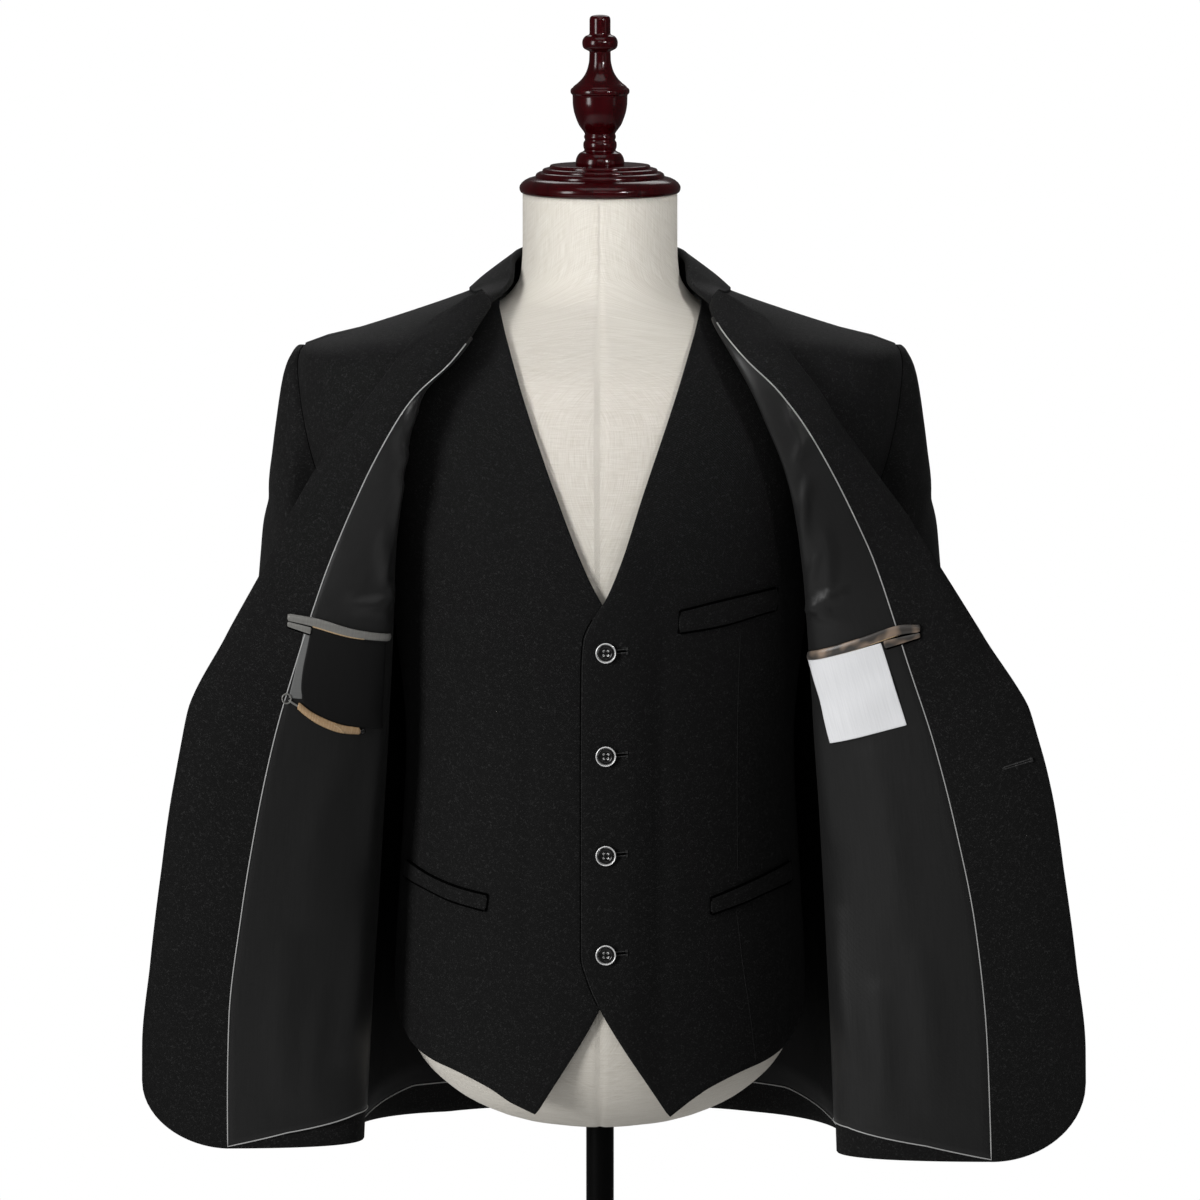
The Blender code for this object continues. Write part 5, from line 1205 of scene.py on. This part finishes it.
# The waistcoat's surface: the form's own, moved out by its ease, and hanging straight under the hips.
def vestPoint(angle, z, out=0.0):
    angle, z, out = np.broadcast_arrays(*[np.asarray(given, float) for given in (angle, z, out)])
    baseZ = np.maximum(z, vest["hangsBelow"])
    along = sectionPoint(formSections, angle + 0.2, baseZ) - sectionPoint(formSections, angle - 0.2, baseZ)
    up = sectionPoint(formSections, angle, baseZ + 0.0005) - sectionPoint(formSections, angle, baseZ - 0.0005)
    normal = unit(np.cross(along, up))
    below = (z - baseZ)[..., None]
    normal = np.where(below < 0, unit(normal * (1, 1, 0)), normal)
    place = sectionPoint(formSections, angle, baseZ) + normal * (sizes["waistcoatEase"] + out)[..., None]
    place[..., 2] += below[..., 0]
    return place


def vestHalfWidth(z):
    return curveAt(formSections, "wide", np.maximum(z, vest["hangsBelow"])) + sizes["waistcoatEase"]


def vestFrontGrid(side):
    rows = vestEdge[side]
    levels = np.linspace(0, 1, int(0.64 / vest["fine"]))
    foot = math.degrees(math.asin(rows["x"][0] / vest["edgeRadius"]))
    (lapX, fadeX), (lapZ, fadeZ), straight = vest["lapAcross"], vest["lapUp"], vest["straight"]
    columns = []
    for share in np.linspace(0, 1, vest["columns"]):
        hem = float(curveAt(vestHem, "z", foot + (90 - foot) * max(share, straight)))
        hem = rows["z"][0] + (hem - rows["z"][0]) * min(1.0, share / straight)
        z = hem + (vest["top"] - hem) * levels
        inner = np.degrees(np.arcsin(np.clip(curveAt(rows, "x", z) / vestHalfWidth(z), -1, 0.95)))
        angle = inner + (curveAt(vestArmhole, "front", z) - vest["seamGap"] - inner) * share
        x = vestHalfWidth(z) * np.sin(np.radians(angle))
        lap = sizes["buttonLap"] if side == right else 0.0
        out = lap * np.clip((lapX - x) / fadeX, 0, 1) * np.clip((lapZ - z) / fadeZ, 0, 1)
        columns.append(vestPoint(angle, z, out) * (side, 1, 1))
    return np.stack(columns, axis=1)


def makeVestPart(name, grid, normals, look, stands):
    half = sizes["waistcoat"] / 2
    cloth(clothWall(name, grid, normals, -half, half, look, stands), grid)


def vestNormals(grid):
    return turnedTo(gridNormals(grid), grid * (1, 1, 0) + (0, 0, 0.05))


def makeVestFront(side):
    name = sideName[side]
    grid = vestFrontGrid(side)
    normals = vestNormals(grid)
    x, z = grid[..., 0], grid[..., 2]
    lift = creases(np.abs(x), z, vestCreases[side])
    if side == right:
        for buttonZ in vest["buttonsZ"]:
            away = (x - vest["buttonX"]) ** 2 + (z - buttonZ) ** 2
            lift -= vest["drawIn"] * np.exp(-away / vest["drawWidth"] ** 2)
    grid = grid + normals * lift[..., None]
    makeVestPart(f"waistcoat_front_{name}", grid, normals, "waistcoat", [f"vest_front_{name}"])


def makeVestBack():
    levels = np.linspace(0, 1, vest["backRows"])
    shares = np.linspace(0, 1, vest["backColumns"])
    columns = []
    for side, inward in [(left, share) for share in shares[:-1]] + [(right, share) for share in shares[::-1]]:
        hem = float(vestHem["z"][-1])
        z = hem + (vest["top"] - vest["backDip"] * inward - hem) * levels
        outer = curveAt(vestArmhole, "back", z) + vest["seamGap"]
        columns.append(vestPoint(outer + (180 - outer) * inward, z) * (side, 1, 1))
    grid = np.stack(columns, axis=1)
    makeVestPart("waistcoat_back", grid, vestNormals(grid), "lining", ["vest_back"])


for side in (right, left):
    makeVestFront(side)
makeVestBack()
print("waistcoat made")


# Points of a waistcoat front at places x, z and at a height off its cloth's middle, and its normals there.
def onVest(side, x, z, off=0.0):
    angle = np.degrees(np.arcsin(np.clip(x / vestHalfWidth(z), -0.99, 0.99)))
    points = vestPoint(angle, z, off)
    across = vestPoint(angle + 0.3, z, off) - vestPoint(angle - 0.3, z, off)
    up = vestPoint(angle, z + 0.001, off) - vestPoint(angle, z - 0.001, off)
    return points * (side, 1, 1), unit(np.cross(across, up)) * (side, 1, 1)


# A line through places (a, b), in even steps of its own length.
def evenLine(places, count):
    run = runAlong(places)
    return smoothThrough(run, places, np.linspace(0, run[-1], count), loose=True)


# A patch between two lines of places, straight from one to the other. With a first line, its first edge
# follows that line, and what that moves fades out across the patch.
def patch(top, bottom, first=None, columns=40, rows=7):
    top, bottom = evenLine(top, columns)[None], evenLine(bottom, columns)[None]
    u, v = np.linspace(0, 1, columns)[None, :, None], np.linspace(0, 1, rows)[:, None, None]
    found = (1 - v) * bottom + v * top
    if first is not None:
        found = found + (1 - u) * (evenLine(first[::-1], rows)[:, None] - found[:, :1])
    return found[..., 0], found[..., 1]


# Each pocket welt's side and its top and bottom lines of places.
waistcoatPieces = {
    "vest_welt_right": (right, [(0.0876, 1.0079), (0.1116, 1.0154), (0.1317, 1.0217), (0.15, 1.0271)],
                        [(0.0876, 0.9947), (0.1134, 1.0014), (0.134, 1.0074), (0.1515, 1.011)]),
    "vest_welt_left": (left, [(0.0888, 1.0101), (0.1139, 1.0142), (0.1335, 1.0195), (0.1485, 1.0253),
                              (0.153, 1.0272)],
                       [(0.0904, 0.9973), (0.1188, 1.0025), (0.1385, 1.0086), (0.1545, 1.0128)]),
    "vest_breast_welt": (right, [(0.0626, 1.2396), (0.0957, 1.2464), (0.1303, 1.2518), (0.1385, 1.2528)],
                         [(0.0616, 1.2221), (0.0958, 1.2262), (0.1294, 1.2334), (0.1379, 1.2346)]),
}
weltLook = {"rows": 9, "columns": 48, "off": 0.0003, "thick": 0.0017, "swell": 0.0005, "seam": 0.0011}


def makeWelts():
    rest = sizes["waistcoat"] / 2 + weltLook["off"]
    swell = weltLook["swell"] * np.sin(np.linspace(0, math.pi, weltLook["rows"]))[:, None, None]
    for name, (side, top, bottom) in waistcoatPieces.items():
        x, z = patch(top, bottom, columns=weltLook["columns"], rows=weltLook["rows"])
        grid, normals = onVest(side, x, z)
        piece = clothWall(name.replace("vest", "waistcoat"), grid + normals * swell, normals, rest,
                          rest + weltLook["thick"], "waistcoat", [name])
        cloth(piece, grid, held="laid", rests=(f"waistcoat_front_{sideName[side]}",))
        # A near-black line round each welt: its seam, and a painted shadow round its edge.
        makeSeamAndShadow(name, *onVest(side, *outline(top, bottom), rest), weltLook["seam"])


# The edge of the front that buttons over, a lighter tube that is a painted highlight, and the near-black tube
# beside it,
# a painted shade under the edge: how far each lies beside the edge, how far above the cloth's middle, its
# radius and its look.
edgeLines = {
    "waistcoat_edge": (0.0003, 0.5, 0.00038, "edgeHighlight"),
    "waistcoat_edge_shade": (-0.0011, -0.5, 0.0006, "seam"),
}


def makeVestEdge():
    z = np.linspace(1.234, 0.9262, 150)
    x = curveAt(vestEdge[right], "x", z)
    for name, (beside, up, radius, look) in edgeLines.items():
        points, normals = onVest(right, x + beside, z, sizes["buttonLap"])
        tube(name, points + normals * (sizes["waistcoat"] * up), radius, 6, look)


# The places round a piece that lies between two lines.
def outline(top, bottom):
    top, bottom = evenLine(top, 50), evenLine(bottom, 50)
    return np.concatenate([top, bottom[::-1], top[:2]]).T


# A fine near-black line along points, sunk in the edge of what lies there: a seam, and a painted shadow round
# that edge.
def makeSeamAndShadow(name, points, normals, radius):
    tube(f"{name}_seam", points + normals * 0.0009, radius, 6, "seam")


# The darts' seams: lines of places on each front, each a fine sunk thread.
darts = {
    right: [
        [(0.1105, 1.2195), (0.1092, 1.177), (0.1085, 1.11), (0.109, 1.028)],
        [(0.1078, 0.999), (0.1095, 0.985), (0.113, 0.954), (0.119, 0.914), (0.124, 0.873)],
    ],
    left: [
        [(0.117, 1.2195), (0.114, 1.177), (0.11, 1.125), (0.1108, 1.033)],
        [(0.1135, 0.998), (0.114, 0.992), (0.1185, 0.9547), (0.1214, 0.9144), (0.1244, 0.8735)],
    ],
}


def makeDarts():
    level = sizes["waistcoat"] / 2 - 0.00005
    for side, lines in darts.items():
        for i, line in enumerate(lines):
            points, normals = onVest(side, *evenLine(line, 60).T)
            name = f"dart_seam_{sideName[side]}_{i + 1}"
            tube(name, points + normals * level, 0.00028, 6, "thread")


# The buttons. A profile's rows are radius and height over the button's back.
buttonLook = {
    "holes": 0.0016, "holeRadius": 0.0008, "steps": 72, "profileStep": 0.00035,
    "gap": 0.0004,  # between the cloth and a button's back
}


# The way a button faces and two directions square to it.
def facing(out):
    out = unit(np.array(out, float))
    across = unit(np.cross([0.0, 0.0, 1.0], out))
    return out, across, np.cross(out, across)


# A round button: rings of radius r at height h over its back, turned about the way it faces. Its face has
# four hollows: h is lowered by depth * exp(-(distance to a hole / its radius)^4).
def roundPiece(name, centre, out, profile, look, stands=(), holes=0.0, scale=1.0):
    rows = smoothProfile(np.array(profile) * scale, buttonLook["profileStep"] * max(scale, 0.8))
    radius, height = rows.T[..., None]
    angle = np.linspace(0, 2 * math.pi, buttonLook["steps"], endpoint=False)
    a, b = radius * np.cos(angle), radius * np.sin(angle)
    h = height + 0 * a
    if holes:
        away = buttonLook["holes"] * scale
        for da, db in ((away, away), (-away, away), (away, -away), (-away, -away)):
            near = np.exp(-(np.hypot(a - da, b - db) / (buttonLook["holeRadius"] * scale)) ** 4)
            h -= holes * near * (height > height.max() * 0.4)
    out, across, other = facing(out)
    points = np.array(centre) + a[..., None] * across + b[..., None] * other + h[..., None] * out
    points = points.reshape(-1, 3)
    faces = pipeFaces(points, np.arange(len(points)).reshape(a.shape))
    uv = np.stack([a.ravel(), b.ravel()], axis=-1)
    return newPiece(name, points, faces, uv, look, stands)


rimProfile = [(0.00675, 0.00085), (0.00755, 0.00085), (0.00792, 0.0014), (0.00802, 0.0019),
              (0.0079, 0.00228), (0.00762, 0.00246), (0.00728, 0.00236), (0.00706, 0.002),
              (0.00698, 0.0015)]
faceProfile = [(0.0002, 0.0), (0.0056, 0.0), (0.0064, 0.0006), (0.00655, 0.0014), (0.0063, 0.00205),
               (0.0056, 0.00228), (0.0048, 0.00215), (0.0043, 0.00185), (0.004, 0.00175), (0.0002, 0.00172)]
plainProfile = [(0.0002, 0.0), (0.0074, 0.0), (0.0094, 0.0009), (0.0104, 0.0021), (0.0102, 0.0031),
                (0.0092, 0.0037), (0.0078, 0.0036), (0.0068, 0.003), (0.0058, 0.0026), (0.0002, 0.0025)]


# Crossed threads through a button's holes, as two short tubes, one over the other.
def sewnCross(name, centre, out, reach, radius):
    out, across, other = facing(out)
    t = np.linspace(-1, 1, 13)[:, None]
    for i, sign in enumerate((1, -1)):
        rise = radius * 1.4 + i * radius
        route = np.array(centre) + (across + sign * other) * t * reach + out * rise * (1 - t ** 2)
        tube(f"{name}_{i + 1}", route, radius, 8, "thread", guide=tuple(out))


# The waistcoat's buttonholes lie under their buttons: where each starts and ends from its button's middle.
vestHole = {"start": (0.005, 0.0006), "end": (0.0168, 0.0014), "halfGap": 0.0013, "radius": 0.00042}


def makeVestButtons():
    top = sizes["buttonLap"] + sizes["waistcoat"] / 2
    out = np.array([0.0, -1.0, 0.0])
    for i, z in enumerate(vest["buttonsZ"], 1):
        middle = np.array([vest["buttonX"], z])
        place = onVest(right, *middle[:, None], top + buttonLook["gap"])[0][0]
        stands = [f"vest_button_{i}"]
        roundPiece(f"button_rim_{i}", place, out, rimProfile, "rim", stands)
        roundPiece(f"button_face_{i}", place, out, faceProfile, "horn", stands, holes=0.0011)
        sewnCross(f"button_thread_{i}", place + out * 0.0016, out, 0.0017, 0.00034)
        makeHole(f"waistcoat_hole_{i}", lambda x, z: onVest(right, x, z, top), middle + vestHole["start"],
                 middle + vestHole["end"], vestHole["halfGap"], vestHole["radius"])


# A buttonhole: a corded edge round a slot from one place to another, wider by its flare where it is cut round
# for the button's thread, and two bars across its end. Surface gives points and normals at places.
def makeHole(name, surface, start, end, halfGap, radius, flare=0.0):
    start, end = np.array(start), np.array(end)
    run = np.linalg.norm(end - start)
    way = (end - start) / run
    side = np.array([-way[1], way[0]])

    def sewn(label, places, above, thick, sides, look):
        points, normals = surface(places[:, 0], places[:, 1])
        tube(label, points + normals * above, thick, sides, look)

    def squarer(wave):  # a circle's sine or cosine, drawn out to a long round shape
        return np.sign(wave) * np.abs(wave) ** 0.45

    t = np.linspace(0, 2 * math.pi, 73)
    swell = halfGap + flare * np.exp(-((np.cos(t) - 0.86) / 0.16) ** 2)
    along = run / 2 * (1 + squarer(np.cos(t)))
    edge = start + along[:, None] * way + (squarer(np.sin(t)) * swell)[:, None] * side
    sewn(name, edge, radius * 0.3, radius, 8, "holeThread")
    # The slot: a near-black tube, painted shade inside the cut.
    slot = start + np.linspace(0, 1, 20)[:, None] * (end - start)
    sewn(f"{name}_slot", slot, 0.0, halfGap * 0.7, 6, "seam")
    for k, back in enumerate((0.0, 0.0009), 1):
        bar = end - way * back + side * np.linspace(-1, 1, 9)[:, None] * (halfGap * 2.1)
        sewn(f"{name}_bar_{k}", bar, radius * 0.8, radius, 8, "holeThread")


makeWelts()
makeVestEdge()
makeDarts()
makeVestButtons()
print("waistcoat finished")


# The height of the lining's creases at places x, z, and of the facing's beyond the cord.
def insideLift(side, x, z):
    part = np.clip((curveAt(openFront[side], "piping", z) - x) / 0.006, 0, 1)
    return creaseHeight(side, "lining", x, z) * part + creaseHeight(side, "facing", x, z) * (1 - part)


# A wall laid on the inside of an open front, over its creases, at places x, z. Rise is its own height there.
def laidInside(name, side, x, z, off, thick, look, stands=(), rise=0.0):
    base, normals = onFront(side, x, z)
    grid = base - normals * (insideLift(side, x, z) + rise)[..., None]
    near = liningFace - off
    return clothWall(name, grid, normals, near - thick, near, look, stands), grid


# Points off the face of the lining and facing, over their creases or flat, and the way they face.
def insideFace(side, x, z, off=0.0, creased=True):
    base, normals = onFront(side, x, z)
    lift = insideLift(side, x, z) * creased
    return base + normals * (liningFace - lift - off)[..., None], -normals


def outsideFace(side, x, z, off=0.0):
    base, normals = onFront(side, x, z)
    return base + normals * (sizes["cloth"] / 2 + off), normals


# Each strip at the inside pockets: its side, how far it stands off the lining, its thickness and crown, its
# look, what it stands for, and its top and bottom lines of places.
insideStrips = {
    "inner_pocket_welt_left": (
        left, 0.0008, 0.0018, 0.0006, "tape", ["inner_welt_left"],
        [(0.2436, 1.2344), (0.2197, 1.2304), (0.1962, 1.223), (0.168, 1.2172)],
        [(0.244, 1.2302), (0.2252, 1.2261), (0.1963, 1.2177), (0.169, 1.213)],
    ),
    "inner_pocket_edge_left": (
        left, 0.0008, 0.0014, 0.0002, "bronzeEdge", (),
        [(0.225, 1.2259), (0.1963, 1.2175), (0.186, 1.2156)],
        [(0.225, 1.2252), (0.1963, 1.2168), (0.186, 1.215)],
    ),
    "inner_pocket_lip_left": (
        left, 0.0004, 0.0014, 0.0006, "tape", ["inner_lip_left"],
        [(0.244, 1.229), (0.2267, 1.225)], [(0.2444, 1.2246), (0.2276, 1.2189)],
    ),
    "inner_pocket_welt_right": (
        right, 0.0008, 0.0018, 0.0006, "brownTape", ["inner_welt_right"],
        [(0.168, 1.2025), (0.2041, 1.2153), (0.2354, 1.2256), (0.25, 1.2256)],
        [(0.168, 1.1965), (0.2042, 1.2087), (0.2354, 1.2195), (0.25, 1.2212)],
    ),
    "inner_pocket_edge_right": (
        right, 0.0008, 0.0014, 0.0002, "bronzeEdge", (),
        [(0.186, 1.2028), (0.2042, 1.2089), (0.234, 1.2194)],
        [(0.186, 1.2022), (0.2042, 1.2082), (0.234, 1.2187)],
    ),
    "inner_pocket_lip_right": (
        right, 0.0004, 0.0014, 0.0006, "brownTape", ["inner_lip_right"],
        [(0.2229, 1.2146), (0.25, 1.2203)], [(0.2245, 1.2077), (0.2506, 1.216)],
    ),
    "small_pocket_welt_left": (
        left, 0.0008, 0.0016, 0.0009, "bronze", ["small_welt_left"],
        [(0.2365, 1.1647), (0.2286, 1.1579), (0.2186, 1.1519), (0.2048, 1.1458), (0.1915, 1.1427)],
        [(0.2379, 1.1606), (0.2308, 1.1541), (0.2215, 1.1476), (0.2064, 1.1408), (0.1914, 1.1384)],
    ),
}


stripLook = {"columns": 64, "rows": 7, "seam": 0.0009}


def makeStrips():
    crossways = np.sin(np.linspace(0, math.pi, stripLook["rows"]))[:, None]
    for name, (side, off, thick, crown, look, stands, top, bottom) in insideStrips.items():
        if "edge" not in name:
            # A near-black line round each strip: its seam, and a painted shadow round its edge.
            makeSeamAndShadow(name, *insideFace(side, *outline(top, bottom), off * 0.6), stripLook["seam"])
        x, z = patch(top, bottom, columns=stripLook["columns"], rows=stripLook["rows"])
        laidInside(name, side, x, z, off, thick, look, stands, crown * crossways)


# The wool patch between the two left pockets, and the strip of lining beside it.
pocketPatch = {
    "edge": [(0.2262, 1.224), (0.23, 1.206), (0.2332, 1.1904), (0.2346, 1.1745), (0.2326, 1.1645)],
    "top": [(0.2262, 1.224), (0.197, 1.2155), (0.1702, 1.21)],
    "bottom": [(0.2326, 1.1645), (0.2234, 1.155), (0.2063, 1.1478), (0.1893, 1.143), (0.1745, 1.141)],
    "stripOuter": [(0.2322, 1.22), (0.2365, 1.202), (0.2402, 1.186), (0.2444, 1.169)],
    "stripInner": [(0.2262, 1.22), (0.2304, 1.204), (0.2334, 1.189), (0.2345, 1.168)],
}


def makePocketPatch():
    x, z = patch(pocketPatch["top"], pocketPatch["bottom"], pocketPatch["edge"], columns=44, rows=40)
    piece, grid = laidInside("inner_pocket_patch_left", left, x, z, 0.0001, 0.0008, "pocketCloth",
                             ["pocket_patch_left"])
    cloth(piece, grid, held="laid", rests=("lining_satin_left",))
    x, z = patch(pocketPatch["stripOuter"], pocketPatch["stripInner"], columns=44, rows=9)
    laidInside("lining_turned_left", left, x[::-1], z[::-1], 0.0001, 0.0004, "paleLining")


# The bare label, its lower edge standing a little off the lining.
label = {
    "top": [(0.1672, 1.1957), (0.2206, 1.212)], "bottom": [(0.1848, 1.1298), (0.2415, 1.1471)],
    "columns": 40, "rows": 44, "curl": 0.0013, "wave": 0.0005, "off": 0.0006, "thick": 0.0005,
}


def makeLabel():
    x, z = patch(label["top"], label["bottom"], columns=label["columns"], rows=label["rows"])
    v, u = np.linspace(1, 0, label["rows"])[:, None], np.linspace(0, 1, label["columns"])[None, :]
    rise = label["curl"] * v ** 2 * (1 + np.sin(5.0 * u + 0.6))
    rise = rise + label["wave"] * np.sin(9 * v + 3 * u) * (1 - v) * v * 4
    piece, grid = laidInside("label_bare", right, x, z, label["off"], label["thick"], "label",
                             ["label"], rise)
    cloth(piece, grid, held="laid", rests=("lining_satin_right",))


# The small welt's folded end, the sewn loop at its outer end and the loop's tail. Each has its line of places
# and the points along it; whether it follows the creases, its height off the lining and its radius; and its
# tube's sides and its look.
loopAngles = np.linspace(0, 2 * math.pi, 41)
loopLine = np.stack([0.2463 + 0.0034 * np.cos(loopAngles), 1.1683 + 0.0038 * np.sin(loopAngles)], axis=-1)
sewnLines = {
    "small_pocket_fold_line": (
        [(0.2096, 1.1479), (0.2062, 1.144), (0.2034, 1.1399)], 24,
        True, 0.0031, 0.00035, 6, "bronzeEdge",
    ),
    "small_pocket_loop": (
        loopLine, None,
        False, 0.0012, 0.0006, 8, "tape",
    ),
    "small_pocket_loop_tail": (
        [(0.2446, 1.1672), (0.2415, 1.1648), (0.2368, 1.1618)], 20,
        False, 0.0014, 0.00085, 8, "tape",
    ),
    "small_pocket_fold": (
        [(0.2105, 1.1466), (0.207, 1.144), (0.2035, 1.1399)], 20,
        True, 0.003, 0.00045, 6, "bronzeEdge",
    ),
}
# The tack at the small welt's inner end, and the bead on it: place, scale and look.
tackProfile = [(0.0001, 0), (0.0019, 0), (0.0022, 0.0008), (0.0014, 0.0018), (0.0001, 0.0021)]
tacks = {
    "small_pocket_tack": (0.1885, 1.14, 1.0, "horn"),
    "small_pocket_bead": (0.1908, 1.1403, 0.45, "rim"),
}


def makeSmallPocket():
    for name, (line, count, creased, off, radius, sides, look) in sewnLines.items():
        x, z = (evenLine(line, count) if count else line).T
        tube(name, insideFace(left, x, z, off, creased)[0], radius, sides, look)
    for name, (x, z, scale, look) in tacks.items():
        place, out = insideFace(left, np.array([x]), np.array([z]), 0.001, creased=False)
        roundPiece(name, place[0], out[0], tackProfile, look, scale=scale)


# The lapel's buttonhole, seen on both faces, and the button that goes with it.
frontClosing = {
    "holeStart": (0.3169, 1.113), "holeEnd": (0.3395, 1.1199), "holeGap": 0.0008, "holeRadius": 0.0006,
    "holeFlare": 0.0012, "buttonZ": 1.107, "fromEdge": 0.02, "buttonHoles": 0.0013,
}


def makeClosing():
    start, end, gap = frontClosing["holeStart"], frontClosing["holeEnd"], frontClosing["holeGap"]
    faces = {
        "lapel_hole_inside": lambda x, z: insideFace(right, x, z, creased=False),
        "lapel_hole_outside": lambda x, z: outsideFace(right, x, z),
    }
    for name, surface in faces.items():
        makeHole(name, surface, start, end, gap, frontClosing["holeRadius"], frontClosing["holeFlare"])
    z = np.array([frontClosing["buttonZ"]])
    x = curveAt(openFront[left], "edge", z) - frontClosing["fromEdge"]
    (place,), (out,) = outsideFace(left, x, z, buttonLook["gap"])
    roundPiece("front_button", place, out, plainProfile, "horn", ["jacket_button"],
               holes=frontClosing["buttonHoles"])
    sewnCross("front_button_thread", place + out * 0.0024, out, 0.0018, 0.00038)


hipFlap = {
    "top": [(0.192, 0.986), (0.31, 0.98)], "bottom": [(0.192, 0.934), (0.252, 0.9305), (0.312, 0.928)],
    "columns": 60, "rows": 26, "off": 0.0004, "thick": 0.0022, "swell": 0.0014,
}


def makeFlap(side):
    name = sideName[side]
    x, z = patch(hipFlap["top"], hipFlap["bottom"], columns=hipFlap["columns"], rows=hipFlap["rows"])
    base, normals = onFront(side, x, z)
    rest = sizes["cloth"] / 2 + hipFlap["off"]
    swell = hipFlap["swell"] * np.linspace(1, 0, hipFlap["rows"])[:, None, None] ** 1.5
    grid, face = base + normals * swell, rest + hipFlap["thick"]
    piece = clothWall(f"hip_pocket_flap_{name}", grid, normals, rest, face, "wool",
                      [f"hip_flap_{name}"])
    cloth(piece, base, rests=(f"front_{name}",))


# The cuff's buttons: how far over its edge, how far apart, and how far round to the back.
cuffButtons = {
    "count": 3, "up": 0.03, "apart": 0.019, "around": math.radians(-62.0), "off": 0.0014, "scale": 0.68,
    "holes": 0.001, "thread": 0.00028, "threadReach": 0.0012, "threadUp": 0.0017,
}


def makeCuffButtons(side):
    around = cuffButtons["around"]
    for i in range(cuffButtons["count"]):
        z = cuffZ + cuffButtons["up"] + cuffButtons["apart"] * i
        which = f"{sideName[side]}_{i + 1}"
        wide, deep = curveAt(sleeveRings, "wide", z), curveAt(sleeveRings, "deep", z)
        out = unit(np.array([side * math.cos(around) / wide, -math.sin(around) / deep, 0.0]))
        place = sleeveRing(side, np.array([around]), np.array([z]))[0] + out * cuffButtons["off"]
        roundPiece(f"cuff_button_turned_{which}", place, out, plainProfile, "horn",
                   [f"cuff_button_{which}"], holes=cuffButtons["holes"], scale=cuffButtons["scale"])
        sewnCross(f"cuff_thread_{which}", place + out * cuffButtons["threadUp"], out,
                  cuffButtons["threadReach"], cuffButtons["thread"])


makeStrips()
makePocketPatch()
makeLabel()
makeSmallPocket()
makeClosing()
for side in (right, left):
    makeFlap(side)
    makeCuffButtons(side)
print("pockets, label, buttonhole and buttons made")


# The studio: a pale floor under the stand, lamps, white surroundings and the camera.
floorLook = {"radius": 2.4, "drop": 0.0005, "colour": (0.86, 0.86, 0.86, 1), "rings": 24, "steps": 96}


def makeFloor():
    radius = np.linspace(0.0005, 1, floorLook["rings"])[:, None] ** 1.5 * floorLook["radius"]
    angle = np.linspace(0, 2 * math.pi, floorLook["steps"], endpoint=False)
    x, y = radius * np.cos(angle), radius * np.sin(angle)
    points = np.stack([x, y, 0 * x - floorLook["drop"]], axis=-1).reshape(-1, 3)
    index = np.arange(len(points)).reshape(x.shape)
    mesh = bpy.data.meshes.new("studio_floor")
    mesh.from_pydata(points.tolist(), [], [*quads(index, True)[:, ::-1].tolist(), index[0].tolist()])
    made, tree, shader = newMaterial("studio floor", 0.7)
    shader.inputs["Base Color"].default_value = floorLook["colour"]
    mesh.materials.append(made)
    floor = addObject("studio_floor", mesh)


# Each lamp: its place, where it points, its width and height in metres, its power in watts, and how wide
# it spreads in degrees.
lamps = {
    "key": ((-2.9, -2.6, 2.1), (0.0, 0.0, 1.2), 1.0, 2.4, 133, 180),
    "fill": ((3.1, -1.6, 1.8), (0.0, 0.0, 1.3), 0.4, 1.8, 2.6, 180),
    "neck": ((1.3, -1.9, 2.3), (0.03, 0.0, 1.6), 0.3, 0.3, 0.48, 20),
    "top": ((0.0, -0.7, 3.4), (0.0, 0.0, 1.3), 1.5, 1.0, 9, 180),
    "front": ((0.0, -3.4, 3.2), (0.0, 0.0, 1.4), 1.6, 0.9, 11, 180),
    "rear": ((0.2, 2.6, 3.4), (0.0, 0.0, 1.2), 2.0, 1.2, 30, 180),
}
skyLight = 0.13  # the white surroundings, as light on the cloth


# Puts a lamp or the camera at a place, turned to look from along away.
def lookFrom(thing, place, away):
    thing.location = place
    thing.rotation_euler = away.to_track_quat("Z", "Y").to_euler()


def makeLights():
    for name, (place, target, width, height, power, spread) in lamps.items():
        data = bpy.data.lights.new(name, "AREA")
        data.shape, data.size, data.size_y, data.energy = "RECTANGLE", width, height, power
        data.spread = math.radians(spread)
        lookFrom(addObject(name, data), place, Vector(place) - Vector(target))
    world = bpy.data.worlds.new("studio")
    world.use_nodes = True
    tree = world.node_tree
    seen = tree.nodes["Background"]
    seen.inputs["Color"].default_value = (1.0, 1.0, 1.0, 1)
    lit = node(tree, "ShaderNodeBackground", [("Color", (1.0, 1.0, 1.0, 1)), ("Strength", skyLight)])
    ray = node(tree, "ShaderNodeLightPath").outputs["Is Camera Ray"]
    both = node(tree, "ShaderNodeMixShader", [(0, ray), (1, lit.outputs[0]), (2, seen.outputs[0])])
    tree.links.new(both.outputs[0], tree.nodes["World Output"].inputs["Surface"])
    bpy.context.scene.world = world
    bpy.context.scene.view_settings.view_transform = "Standard"


# The camera stands 8 degrees above the level of what it looks at, 5 m away.
camera = {"distance": 5.0, "elevation": 8.0, "target": (0.0, 0.0, 1.232), "lens": 187.5, "sensor": 36.0}


def makeCamera():
    data = bpy.data.cameras.new("photo")
    data.lens, data.sensor_width, data.clip_end = camera["lens"], camera["sensor"], 50.0
    made = addObject("photo", data)
    rise = math.radians(camera["elevation"])
    away = Vector((0.0, -math.cos(rise), math.sin(rise)))
    lookFrom(made, Vector(camera["target"]) + away * camera["distance"], away)
    bpy.context.scene.camera = made


makeFloor()
makeLights()
makeCamera()
print("studio ready")
